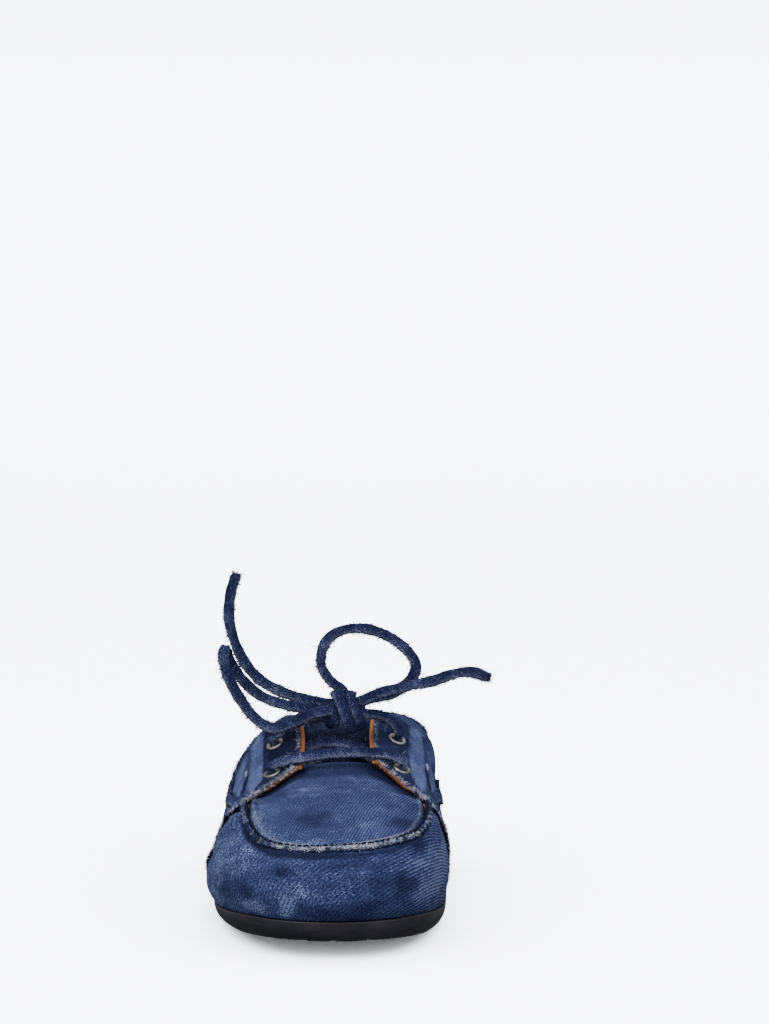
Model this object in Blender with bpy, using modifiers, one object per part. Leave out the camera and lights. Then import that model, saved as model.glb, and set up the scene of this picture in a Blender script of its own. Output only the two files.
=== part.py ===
"""Right shoe of a pair of backless boat shoes, standing empty on its sole.

The tables are in millimetres in the shoemaker's frame: x across (lateral side
negative), s along the shoe from the tip of the toe, z up from the floor.
place() takes such a point into the scene: metres, toe towards -Y, heel towards
+Y, the origin on the floor in the middle of the shoe.
"""

import math

import bmesh
import bpy
import numpy as np
from mathutils import Matrix, Vector

# ---------------------------------------------------------------- driving sizes, mm

MM = 0.001
LENGTH = 268.0             # outsole, toe to heel
CENTRE_X = -1.71            # middle of the shoe's box
CENTRE_S = 133.68

WALL = 2.0                 # denim with its leather lining
QUARTER_WALL = 1.8         # the quarter laid over it, with its own lining
QUARTER_RISE = 1.1         # the quarter's outer face above the vamp's
GAP = 0.3                  # between two pieces that meet
SEAT = 0.5                 # from the sole up to the upper and the insole
SEAM_RIDGE = 1.5           # height of the gathered apron seam
TONGUE_WALL = 2.6
INSOLE_THICK = 2.3
INSOLE_DISH = 0.7
APRON_FRONT = 20.0         # where the apron starts behind the toe's tip
APRON_LENGTH = 78.0
APRON_WIDTH = 60.0         # where its crown has reached its full height
APRON_CROWN = 9.2
TREAD_DEPTH = 1.2
LUG_GROOVE = 2.0           # between two blocks of tread
LUG_LEAST = 25.0           # smallest cell that makes a block, square mm
ARCH = (136.0, 184.0)      # stations between which the underside is plain
EYELET_HOLE = 2.2          # inner radius
EYELET_BARREL = 2.55       # outer radius of its barrel
EYELET_FLANGE = 3.9        # outer radius of its rim
EYELET_RISE = 1.15
EYELET_SEAT = 0.35         # how far its rim stands off the curved quarter
LACE = 4.6                 # width of the denim lace
LACE_IN_HOLE = 3.0         # the lace where it is bunched in an eyelet
SIDE_LACE_LEVEL = 43.5     # height of the lace along the collar
SIDE_LACE_THICK = 1.8

# Sections of the upper from the toe back, for each side: where the wall meets the
# sole, the shoulder line that the apron or the lining reaches, and the open edge of
# the quarter laid over it. Belly and brow are the two handles of the section's curve:
# how far out and up the first lies from the sole, the second from the shoulder. The
# flap bow is how round the wing or collar is between shoulder and edge.
SECTION_COLUMNS = ("sole_x", "sole_s", "shoulder_x", "shoulder_s", "shoulder_z",
                   "edge_x", "edge_s", "edge_z", "belly_out", "belly_up", "brow_out", "brow_up",
                   "flap_bow")
TOE_SECTION = (0.0, 0.4, -0.5, 20.0, 42.0, -0.5, 20.0, 42.0, 4.6, 13.0, 12.0, 0.5, 0.2)
LATERAL_SECTIONS = {
    "toe side":     (-23.5, 7.2, -15.0, 21.6, 41.6, -15.0, 21.6, 41.6, 4.6, 13.0, 12.0, 0.3, 0.20),
    "toe corner":   (-39.0, 25.2, -26.6, 27.6, 43.0, -26.6, 27.6, 43.0, 5.4, 13.0, 11.5, -0.4, 0.20),
    "toe box":      (-46.2, 46.5, -32.4, 42.0, 46.0, -32.4, 42.0, 46.0, 6.0, 14.0, 11.5, -1.0, 0.20),
    "ball front":   (-49.3, 68.0, -35.0, 60.0, 49.4, -35.0, 60.0, 49.4, 6.2, 15.0, 11.0, -1.5, 0.20),
    "seam corner":  (-50.1, 85.0, -34.8, 72.0, 50.6, -34.8, 72.0, 50.6, 6.0, 16.0, 11.0, -3.0, 0.15),
    "wing":         (-50.2, 93.0, -36.8, 85.0, 50.4, -25.0, 83.5, 54.7, 5.8, 17.0, 9.5, -5.5, 0.12),
    "facing foot":  (-49.9, 101.0, -38.2, 98.0, 51.0, -13.9, 97.0, 59.6, 5.6, 17.5, 8.0, -7.5, 0.12),
    "facing mid":   (-48.9, 117.0, -37.8, 116.0, 55.0, -13.2, 116.0, 67.2, 5.2, 19.0, 6.8, -8.5, 0.36),
    "facing top":   (-47.6, 133.0, -37.2, 133.0, 58.6, -14.4, 135.0, 74.4, 4.8, 20.0, 6.2, -9.5, 0.45),
    "collar front": (-47.0, 139.0, -37.6, 140.0, 58.8, -20.0, 139.5, 73.6, 4.6, 20.0, 5.8, -9.5, 0.45),
    "collar peak":  (-46.4, 145.0, -39.4, 146.0, 56.2, -32.0, 145.0, 66.2, 4.4, 19.0, 4.8, -9.5, 0.45),
    "collar brow":  (-45.4, 153.0, -42.4, 153.0, 49.6, -40.4, 152.0, 55.6, 4.0, 16.0, 3.0, -9.0, 0.40),
    "collar side":  (-43.8, 163.0, -44.6, 161.0, 41.0, -44.4, 160.5, 44.6, 3.2, 11.0, 1.6, -8.0, 0.30),
    "collar fall":  (-41.9, 174.0, -43.6, 171.0, 30.4, -43.6, 170.5, 32.4, 2.0, 6.5, 0.9, -5.0, 0.30),
    "collar foot":  (-39.8, 186.0, -40.4, 183.5, 20.4, -40.4, 183.2, 21.4, 0.4, 1.4, 0.2, -1.2, 0.30),
}
MEDIAL_SECTIONS = {
    "toe side":     (23.5, 6.4, 16.4, 21.2, 43.0, 16.4, 21.2, 43.0, 4.0, 13.0, 11.0, 0.2, 0.20),
    "toe corner":   (38.2, 23.0, 31.0, 27.6, 45.6, 31.0, 27.6, 45.6, 3.6, 14.0, 9.0, -0.8, 0.20),
    "toe box":      (44.6, 44.0, 37.0, 42.0, 48.4, 37.0, 42.0, 48.4, 3.0, 15.0, 8.0, -1.8, 0.20),
    "ball front":   (47.0, 65.0, 38.4, 57.0, 50.2, 38.4, 57.0, 50.2, 2.8, 15.5, 7.6, -2.4, 0.20),
    "seam corner":  (47.7, 84.0, 38.0, 70.0, 50.8, 38.0, 70.0, 50.8, 2.6, 16.5, 7.4, -4.0, 0.15),
    "wing":         (47.6, 92.0, 38.8, 84.0, 51.4, 29.0, 83.0, 55.0, 2.4, 18.0, 6.8, -6.0, 0.12),
    "facing foot":  (47.1, 101.0, 39.4, 98.0, 53.2, 17.9, 97.0, 62.0, 2.4, 19.0, 6.0, -8.0, 0.12),
    "facing mid":   (45.5, 117.0, 39.0, 116.0, 58.0, 17.2, 116.0, 68.4, 3.0, 21.0, 5.2, -9.5, 0.36),
    "facing top":   (42.9, 133.0, 38.4, 134.0, 62.6, 18.0, 136.0, 75.0, 3.6, 23.0, 5.0, -11.0, 0.45),
    "collar front": (41.6, 139.0, 38.6, 140.0, 63.6, 23.0, 141.0, 74.8, 3.8, 23.0, 5.0, -11.0, 0.45),
    "collar peak":  (40.3, 145.0, 39.6, 146.0, 62.8, 32.4, 147.0, 72.0, 4.0, 22.0, 4.6, -11.0, 0.45),
    "collar brow":  (38.6, 153.0, 41.4, 153.0, 58.6, 39.6, 153.0, 66.2, 4.0, 18.0, 2.6, -12.0, 0.40),
    "collar side":  (37.0, 163.0, 41.6, 162.0, 51.0, 41.4, 161.5, 55.4, 3.8, 13.0, 0.6, -10.0, 0.30),
    "collar fall":  (35.6, 174.0, 40.0, 171.5, 37.4, 40.0, 171.0, 40.0, 3.0, 7.0, -0.4, -7.0, 0.30),
    "collar foot":  (34.6, 186.0, 35.6, 183.5, 20.6, 35.6, 183.2, 21.8, 0.6, 1.4, 0.0, -1.2, 0.30),
}
# The sole's edge behind the upper, from the collar's foot round the heel: x, s.
HEEL_OUTLINE = {
    "lateral waist": (-37.2, 205.0),
    "lateral seat":  (-36.2, 228.0),
    "lateral round": (-31.0, 247.4),
    "lateral back":  (-18.0, 263.2),
    "heel":          (-1.0, LENGTH - 0.2),
    "medial back":   (16.6, 263.2),
    "medial round":  (29.0, 247.4),
    "medial seat":   (33.6, 228.0),
    "medial waist":  (33.8, 205.0),
}
CORNERS = ("seam corner", "facing foot", "facing top")     # where the quarter's edge turns sharply

# Height of the sole's top edge and of its underside: s, top, underside.
SOLE_PROFILE = (
    (0.0, 16.6, 8.3),
    (14.0, 15.9, 6.7),
    (28.0, 14.3, 4.8),
    (43.0, 12.2, 2.8),
    (60.0, 10.0, 0.9),
    (76.0, 9.0, 0.0),
    (100.0, 8.8, 0.0),
    (128.0, 9.6, 0.0),
    (150.0, 11.8, 1.8),
    (172.0, 14.8, 1.8),
    (188.0, 16.9, 0.0),
    (225.0, 20.6, 0.0),
    (258.0, 22.8, 0.0),
    (LENGTH, 23.4, 1.6),
)
# The sole's side, from its underside up: distance out from the edge, height as a share
# of the side and in millimetres on top of it.
SOLE_SIDE = (
    ("tread edge",  -4.4, 0.0, TREAD_DEPTH),
    ("rolled edge", -2.0, 0.10, TREAD_DEPTH),
    ("bulge",       -0.2, 0.42, 0.0),
    ("shoulder",     0.15, 0.72, 0.0),
    ("lip",          0.1, 0.94, 0.0),
    ("top edge",     0.0, 1.0, 0.0),
    ("ledge",       -3.0, 1.0, 0.0),
)
TONGUE_OFFSET = 1.0        # the tongue's middle from the shoe's
# The tongue: s, height at the middle, half-width, drop to its sides.
TONGUE_SECTIONS = (
    (93.0, 55.6, 20.0, 4.2),
    (100.0, 56.3, 21.0, 4.4),
    (107.0, 58.6, 22.5, 4.8),
    (114.0, 62.6, 24.0, 5.4),
    (122.0, 67.0, 25.5, 6.2),
    (131.0, 71.2, 26.0, 6.4),
    (141.0, 74.6, 25.0, 6.0),
    (149.0, 76.2, 21.0, 4.6),
    (153.0, 76.6, 15.0, 2.6),
)

# ---------------------------------------------------------------- curves through tables


def place(point):
    """A point of the shoemaker's frame, in metres about the origin."""
    return Vector(((point[0] - CENTRE_X) * MM, (point[1] - CENTRE_S) * MM, point[2] * MM))


def along(rows, u, corners=()):
    """Smooth value of rows of numbers at row u, with a corner kept at the rows named."""
    k = min(max(int(math.floor(u)), 0), len(rows) - 2)
    t = u - k
    a, b = rows[k], rows[k + 1]
    leave = b - a if k == 0 or k in corners else (b - rows[k - 1]) / 2
    arrive = b - a if k + 2 == len(rows) or k + 1 in corners else (rows[k + 2] - a) / 2
    return (a * (1 + 2 * t) * (1 - t) ** 2 + leave * t * (1 - t) ** 2
            + b * t * t * (3 - 2 * t) - arrive * t * t * (1 - t))


def at_station(rows, s):
    """Smooth values of a table whose first column is the station s."""
    stations = [row[0] for row in rows]
    k = min(max(sum(s >= start for start in stations) - 1, 0), len(rows) - 2)
    u = k + min(max((s - stations[k]) / (stations[k + 1] - stations[k]), 0.0), 1.0)
    flat = [i for i in range(len(rows) - 1) if rows[i][-1] == rows[i + 1][-1]]
    corners = set(flat) | {i + 1 for i in flat}
    return along([np.array(row[1:], float) for row in rows], u, corners)


def sole_top(s):
    return at_station(SOLE_PROFILE, s)[0]


def sole_under(s):
    return at_station(SOLE_PROFILE, s)[1]


SECTION_NAMES = ["toe"] + list(LATERAL_SECTIONS)
TOE = len(LATERAL_SECTIONS)                 # row of the toe in the run from lateral to medial
SECTIONS = [np.array(row, float) for row in
            list(LATERAL_SECTIONS.values())[::-1] + [TOE_SECTION] + list(MEDIAL_SECTIONS.values())]


def columns_of(*names):
    """The named columns of all the sections."""
    picks = [SECTION_COLUMNS.index(name) for name in names]
    return [row[picks] for row in SECTIONS]


SOLE_LINE = columns_of("sole_x", "sole_s")
SHOULDER_LINE = columns_of("shoulder_x", "shoulder_s", "shoulder_z")
OPEN_EDGE = columns_of("edge_x", "edge_s", "edge_z")
HANDLES = columns_of("belly_out", "belly_up", "brow_out", "brow_up")
FLAP_BOWS = columns_of("flap_bow")
SHARP = [TOE + side * SECTION_NAMES.index(name) for name in CORNERS for side in (-1, 1)]
EDGE_LINE = SOLE_LINE + [np.array(point) for point in list(HEEL_OUTLINE.values())[::-1]]


def row_of(side, name, share=0.0):
    """Row number of a named section on a side (-1 lateral, 1 medial), or a share past it."""
    return TOE + side * (SECTION_NAMES.index(name) + share)


def sole_edge(u):
    """The sole's edge in plan at row u of the closed outline, and its outward direction."""
    count = len(EDGE_LINE)
    k = int(math.floor(u))
    rows = [EDGE_LINE[(k + step) % count] for step in (-1, 0, 1, 2)]
    here = along(rows, 1 + u - k)
    ahead = along(rows, 1 + u - k + 0.01) if u - k < 0.99 else along(rows, 2 - 1e-6)
    behind = along(rows, 1 + max(u - k - 0.01, 0.0))
    run = ahead - behind
    out = np.array([run[1], -run[0]]) / np.hypot(*run)
    return here, out


def base(u, v):
    """The upper's form: row u, v from 0 at the sole to 1 at the shoulder to 2 at the open edge."""
    shoulder = along(SHOULDER_LINE, u, SHARP)
    foot, out = sole_edge(u)
    start = np.array([foot[0], foot[1], sole_top(foot[1]) + SEAT])
    belly_out, belly_up, brow_out, brow_up = along(HANDLES, u)
    belly = start + np.array([out[0] * belly_out, out[1] * belly_out, belly_up])
    brow = shoulder + np.array([out[0] * brow_out, out[1] * brow_out, brow_up])
    if v <= 1:
        return ((1 - v) ** 3 * start + 3 * v * (1 - v) ** 2 * belly
                + 3 * v * v * (1 - v) * brow + v ** 3 * shoulder)
    edge = along(OPEN_EDGE, u, SHARP)
    flap_bow = along(FLAP_BOWS, u)[0]
    reach = np.linalg.norm(edge - shoulder) * flap_bow
    handle = shoulder + (shoulder - brow) / np.linalg.norm(shoulder - brow) * reach
    handle = handle + (edge - handle) * (1 - flap_bow) ** 2 / 2
    t = v - 1
    return (1 - t) ** 2 * shoulder + 2 * t * (1 - t) * handle + t * t * edge


def outward(u, v):
    """Unit normal of the form, away from the foot."""
    step = 0.02
    along_row = base(u + step, v) - base(u - step, v)
    up_row = base(u, min(v + step, 2)) - base(u, v - step if v >= step else v)
    normal = np.cross(along_row, up_row)
    size = np.linalg.norm(normal)
    if size < 1e-4:                        # the wing's tip, where its flap has no width
        return outward(u, 1 - step)
    return normal / size


def lifted(u, v, height):
    """A point at a height over the form."""
    return base(u, v) + outward(u, v) * height


# ---------------------------------------------------------------- making solids

shoe = bpy.data.collections.new("boat_shoe_mule")
cutters = bpy.data.collections.new("cutters")


def start_scene():
    for item in list(bpy.data.objects):
        bpy.data.objects.remove(item, do_unlink=True)
    for collection in (shoe, cutters):
        bpy.context.scene.collection.children.link(collection)
    cutters.hide_render = True


def material(name, colour, roughness, metallic=0.0):
    made = bpy.data.materials.new(name)
    made.use_nodes = True
    shader = made.node_tree.nodes["Principled BSDF"]
    shader.inputs["Base Color"].default_value = (*colour, 1.0)
    shader.inputs["Roughness"].default_value = roughness
    shader.inputs["Metallic"].default_value = metallic
    return made


def add_object(name, mesh, finish, smooth=35):
    """An object of the shoe from a mesh, with its normals made consistent and outward."""
    item = bpy.data.objects.new(name, mesh)
    shoe.objects.link(item)
    mesh.materials.append(finish)
    mesh.shade_smooth()
    mesh.set_sharp_from_angle(angle=math.radians(smooth))
    return item


def grid_mesh(name, *grids):
    """One surface from grids of points whose shared edges are welded."""
    work = bmesh.new()
    for grid in grids:
        rows = [[work.verts.new(place(point)) for point in row] for row in grid]
        for row, following in zip(rows, rows[1:]):
            for j in range(len(row) - 1):
                work.faces.new((row[j], row[j + 1], following[j + 1], following[j]))
    bmesh.ops.remove_doubles(work, verts=work.verts, dist=0.02 * MM)
    bmesh.ops.dissolve_degenerate(work, edges=work.edges, dist=0.02 * MM)
    mesh = bpy.data.meshes.new(name)
    work.to_mesh(mesh)
    work.free()
    return mesh


def thicken(item, thickness):
    """A wall laid inwards from the surface."""
    wall = item.modifiers.new("wall", "SOLIDIFY")
    wall.thickness = thickness * MM
    wall.offset = -1.0
    wall.use_even_offset = True
    wall.use_quality_normals = True


def spread(first, last, count):
    return [first + (last - first) * i / (count - 1) for i in range(count)]


# ---------------------------------------------------------------- outsole and insole

HALF_TURN = len(EDGE_LINE) / 2              # rows from the toe to the heel


def turn_at(side, s):
    """How many rows past the toe a side's edge reaches a station s."""
    low, high = 0.0, HALF_TURN
    for _ in range(40):
        middle = (low + high) / 2
        point, _ = sole_edge(TOE + side * middle)
        if point[1] < s:
            low = middle
        else:
            high = middle
    return (low + high) / 2


def band_turns(count):
    """Lateral and medial rows of straight bands across the sole, closer together at both ends."""
    tip, heel = sole_edge(TOE)[0][1], sole_edge(TOE + HALF_TURN)[0][1]
    turns = []
    for share in spread(0.0, 1.0, count):
        s = tip + (heel - tip) * (0.72 * share + 0.28 * (0.5 - 0.5 * math.cos(math.pi * share)))
        turns.append((turn_at(-1, s), turn_at(1, s)))
    turns[0], turns[-1] = (0.0, 0.0), (HALF_TURN, HALF_TURN)
    round_ends = [(turns[1][0] * 0.45, turns[1][1] * 0.45)]
    near_heel = [tuple(HALF_TURN - (HALF_TURN - turn) * 0.45 for turn in turns[-2])]
    return turns[:1] + round_ends + turns[1:-1] + near_heel + turns[-1:]


def outline_point(u, inset, height):
    point, out = sole_edge(u)
    return np.array([point[0] - out[0] * inset, point[1] - out[1] * inset, height])


def ring_grid(levels, count):
    """Grid round the outline: one closed row of points for each level."""
    turns = band_turns(count)
    around = [TOE - lateral for lateral, _ in turns] + [TOE + medial for _, medial in turns[-2:0:-1]]
    return [[level(u) for u in around + around[:1]] for level in levels]


def cap_grid(level, count, columns):
    """Grid across the outline, from the toe to the heel, joining a ring's two sides."""
    grid = []
    for lateral, medial in band_turns(count):
        left, right = level(TOE - lateral), level(TOE + medial)
        grid.append([left + (right - left) * j / columns for j in range(columns + 1)])
    return grid


def side_level(out, share, extra):
    def level(u):
        point, _ = sole_edge(u)
        under, top = sole_under(point[1]), sole_top(point[1])
        return outline_point(u, -out, under + (top - under) * share + extra)
    return level


def make_outsole():
    bands, columns = 29, 6
    levels = [side_level(*row[1:]) for row in SOLE_SIDE]
    tread = cap_grid(levels[0], bands, columns)
    for row in tread:
        for point in row[1:-1]:
            point[2] = sole_under(point[1]) + TREAD_DEPTH
    top = cap_grid(levels[-1], bands, columns)
    for row in top:
        for point in row[1:-1]:
            point[2] = sole_top(point[1])
    mesh = grid_mesh("outsole", ring_grid(levels, bands), tread, top)
    work = bmesh.new()
    work.from_mesh(mesh)
    bmesh.ops.recalc_face_normals(work, faces=work.faces)
    cut_lugs(work)
    work.to_mesh(mesh)
    work.free()
    return add_object("outsole", mesh, material("black_rubber", (0.018, 0.018, 0.026), 0.45), 28)


def cut_lugs(work):
    """A block of tread under the forefoot and the heel from each cell of the underside."""
    cells = []
    for face in work.faces:
        middle = face.calc_center_median()
        s = middle.y / MM + CENTRE_S
        level = sole_under(s) + TREAD_DEPTH
        on_underside = face.normal.z < -0.9 and abs(middle.z / MM - level) < 0.4
        in_arch = ARCH[0] < s < ARCH[1]
        if on_underside and not in_arch and face.calc_area() > LUG_LEAST * MM * MM:
            cells.append(face)
    bmesh.ops.inset_individual(work, faces=cells, thickness=LUG_GROOVE / 2 * MM, depth=0.0)
    for face in cells:
        for vert in face.verts:
            vert.co.z = sole_under(vert.co.y / MM + CENTRE_S) * MM


def make_insole():
    bands, columns = 17, 4
    clear_of_wall, open_edge = 4.2, 1.0      # inset inside the upper and behind it
    widens, widens_over = 188.0, 12.0        # station where the upper ends

    def inset(s):
        share = min(max((s - widens) / widens_over, 0.0), 1.0)
        return clear_of_wall + (open_edge - clear_of_wall) * share

    def level(rise, extra):
        def height(u):
            point, _ = sole_edge(u)
            return outline_point(u, inset(point[1]) + extra, sole_top(point[1]) + rise)
        return height

    levels = [level(SEAT, 0.5), level(SEAT + 0.5, 0.0), level(SEAT + INSOLE_THICK - 0.5, 0.0),
              level(SEAT + INSOLE_THICK, 0.6)]
    under = cap_grid(levels[0], bands, columns)
    top = cap_grid(levels[-1], bands, columns)
    for rows, rise, sag in ((under, SEAT, 0.0), (top, SEAT + INSOLE_THICK, INSOLE_DISH)):
        for row in rows:
            for j, point in enumerate(row[1:-1], 1):
                share = j / columns
                point[2] = sole_top(point[1]) + rise - sag * 4 * share * (1 - share)
    mesh = grid_mesh("insole", ring_grid(levels, bands), under, top)
    work = bmesh.new()
    work.from_mesh(mesh)
    bmesh.ops.recalc_face_normals(work, faces=work.faces)
    work.to_mesh(mesh)
    work.free()
    return add_object("insole", mesh, material("insole_leather", (0.42, 0.21, 0.09), 0.6))


# ---------------------------------------------------------------- upper, quarters, tongue

WALL_COLUMNS = (0.0, 0.14, 0.3, 0.46, 0.62, 0.78, 0.9, 0.955, 1.0)
QUARTER_COLUMNS = (0.0, 0.14, 0.3, 0.46, 0.62, 0.78, 0.9, 1.0, 1.25, 1.5, 1.75, 2.0)
SEAM_COLUMN = WALL_COLUMNS[-2]          # the crest of the gathered seam
UNDER_QUARTER = QUARTER_RISE - QUARTER_WALL - 1.5 * GAP       # the upper's face below the quarter
APRON_BACK = "facing foot"                               # the apron ends under this section
SEAM_TURN = SECTION_NAMES.index("seam corner")
LAST = SECTION_NAMES.index("collar foot")


def upper_turns():
    """Rows from the toe back: round the vamp, under the quarter as far as the apron, behind it."""
    vamp = spread(0.0, SEAM_TURN - 0.25, 13)
    under_wing = spread(SEAM_TURN, SECTION_NAMES.index(APRON_BACK) - 0.4, 5)
    behind = spread(SECTION_NAMES.index(APRON_BACK) + 0.1, LAST, 12)
    return vamp, under_wing, behind


def upper_point(side, turn, v):
    """The upper's outer face, with the gathered seam along the apron."""
    u = TOE + side * turn
    if turn >= SEAM_TURN:
        return lifted(u, v, UNDER_QUARTER)
    fade = min(max((SEAM_TURN - 0.25 - turn) / 0.5, 0.0), 1.0)
    ridge = 1.0 if v == SEAM_COLUMN else 0.0
    return lifted(u, v, ridge * fade * SEAM_RIDGE)


def apron_row(turn, columns, bow):
    """A crowned line across the apron, from one shoulder to the other."""
    left, right = upper_point(-1, turn, 1.0), upper_point(1, turn, 1.0)
    share_back = ((left[1] + right[1]) / 2 - APRON_FRONT) / APRON_LENGTH
    full_width = min((right[0] - left[0]) / APRON_WIDTH, 1.0)
    crown = APRON_CROWN * min(max(share_back, 0.0), 1.0) ** 0.8 * full_width
    row = []
    for j in range(columns + 1):
        share = j / columns
        arch = 4 * share * (1 - share)
        point = left + (right - left) * share
        row.append(point + np.array([0.0, bow * arch, crown * arch]))
    return row


def make_upper():
    vamp, under_wing, behind = upper_turns()
    turns = vamp + under_wing + behind
    order = [(-1, turn) for turn in turns[::-1]] + [(1, turn) for turn in turns[1:]]
    wall = [[upper_point(side, turn, v) for v in WALL_COLUMNS] for side, turn in order]
    columns = 10
    back = 6.5                             # how far the middle of the apron's end lies behind its sides
    bows = [0.0] * len(vamp) + [back * (i + 1) / len(under_wing) for i in range(len(under_wing))]
    apron = [apron_row(turn, columns, bow) for turn, bow in zip(vamp + under_wing, bows)]
    mesh = grid_mesh("upper", [row[::-1] for row in wall], apron)
    face_out(mesh)
    item = add_object("upper", mesh, material("washed_denim", (0.045, 0.09, 0.24), 0.9))
    thicken(item, WALL)
    return item


def face_out(mesh):
    """Turn all faces the same way, up and away from the foot."""
    work = bmesh.new()
    work.from_mesh(mesh)
    bmesh.ops.recalc_face_normals(work, faces=work.faces)
    up = sum(face.normal.z * face.calc_area() for face in work.faces)
    if up < 0:
        bmesh.ops.reverse_faces(work, faces=work.faces)
    work.to_mesh(mesh)
    work.free()


def quarter_turns():
    front = spread(SEAM_TURN, SECTION_NAMES.index("facing foot"), 6)
    facing = spread(SECTION_NAMES.index("facing foot"), SECTION_NAMES.index("facing top"), 6)
    collar = spread(SECTION_NAMES.index("facing top"), LAST - 0.05, 12)
    return front + facing[1:] + collar[1:]


# Places of the eyelets on the flaps: section, share of the way to the next, v.
EYELETS = {
    (-1, "lower"): ("wing", 0.99, 1.57),
    (1, "lower"): ("wing", 0.93, 1.55),
    (-1, "upper"): ("facing mid", 0.15, 1.60),
    (1, "upper"): ("facing mid", 0.12, 1.61),
}


def eyelet_axis(side, which, height=0.0):
    """Centre of an eyelet at a height over the quarter, and its axis, the mean of the wall's
    normals round it."""
    name, share, v = EYELETS[side, which]
    u = row_of(side, name, share)
    near, up_flap = 0.2, 0.12
    normals = [outward(u + du, v + dv) for du in (-near, near) for dv in (-up_flap, up_flap)]
    axis = sum(normals) / np.linalg.norm(sum(normals))
    return lifted(u, v, QUARTER_RISE) + axis * (EYELET_SEAT + height), axis


def make_quarter(side, name):
    """The quarter with its wing and facing, laid over the upper's side."""
    grid = [[lifted(TOE + side * turn, v, QUARTER_RISE) for v in QUARTER_COLUMNS]
            for turn in quarter_turns()]
    mesh = grid_mesh(name, grid)
    face_out(mesh)
    item = add_object(name, mesh, material(name + "_denim", (0.03, 0.06, 0.18), 0.9))
    thicken(item, QUARTER_WALL)
    for which in ("lower", "upper"):
        centre, axis = eyelet_axis(side, which, -QUARTER_WALL / 2)
        cutter = punch(name + "_hole_" + which, centre, axis)
        cut = item.modifiers.new("eyelet " + which, "BOOLEAN")
        cut.object = cutter
        cut.operation = "DIFFERENCE"
        cut.solver = "EXACT"
    return item


def punch(name, centre, normal):
    """A cylinder through a wall, in the cutters' collection."""
    work = bmesh.new()
    radius = (EYELET_BARREL + GAP) * MM
    bmesh.ops.create_cone(work, cap_ends=True, segments=16, radius1=radius, radius2=radius,
                          depth=8 * MM)
    mesh = bpy.data.meshes.new(name)
    work.to_mesh(mesh)
    work.free()
    item = bpy.data.objects.new(name, mesh)
    item.matrix_world = seat(centre, normal)
    item.hide_render = True
    item.display_type = "WIRE"
    cutters.objects.link(item)
    return item


def seat(centre, normal):
    """Matrix with +Z along a surface's normal at a point of the shoe."""
    turn = Vector(normal).to_track_quat("Z", "Y").to_matrix().to_4x4()
    return Matrix.Translation(place(centre)) @ turn


def make_eyelet(side, which, name):
    """A rolled ring with a short barrel through the quarter, turned about its axis."""
    drop, clear = QUARTER_WALL * 0.8, GAP + 0.05
    profile = (
        (EYELET_HOLE, -drop),
        (EYELET_HOLE, EYELET_RISE / 2),
        (EYELET_HOLE + 0.8, EYELET_RISE),
        (EYELET_FLANGE, EYELET_RISE / 2),
        (EYELET_FLANGE - 0.1, clear),
        (EYELET_BARREL, clear),
        (EYELET_BARREL, -drop),
    )
    work = bmesh.new()
    verts = [work.verts.new((r * MM, 0.0, z * MM)) for r, z in profile]
    ring = [work.edges.new(pair) for pair in zip(verts, verts[1:] + verts[:1])]
    bmesh.ops.spin(work, geom=verts + ring, cent=(0, 0, 0), axis=(0, 0, 1),
                   angle=2 * math.pi, steps=12, use_duplicate=False)
    bmesh.ops.remove_doubles(work, verts=work.verts, dist=0.01 * MM)
    bmesh.ops.recalc_face_normals(work, faces=work.faces)
    mesh = bpy.data.meshes.new(name)
    work.to_mesh(mesh)
    work.free()
    item = add_object(name, mesh, material("nickel", (0.72, 0.70, 0.68), 0.3, 1.0), 50)
    item.matrix_world = seat(*eyelet_axis(side, which))
    return item


def make_tongue():
    columns = 8
    grid = []
    for s in spread(TONGUE_SECTIONS[0][0], TONGUE_SECTIONS[-1][0], 15):
        middle, half, drop = at_station([row + (0,) for row in TONGUE_SECTIONS], s)[:3]
        row = []
        for j in range(columns + 1):
            across = -1 + 2 * j / columns
            row.append((across * half + TONGUE_OFFSET, s, middle - drop * across * across))
        grid.append(row)
    mesh = grid_mesh("tongue", grid)
    face_out(mesh)
    item = add_object("tongue", mesh, material("dark_denim", (0.012, 0.016, 0.05), 0.9))
    thicken(item, TONGUE_WALL)
    return item


# ---------------------------------------------------------------- laces

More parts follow.
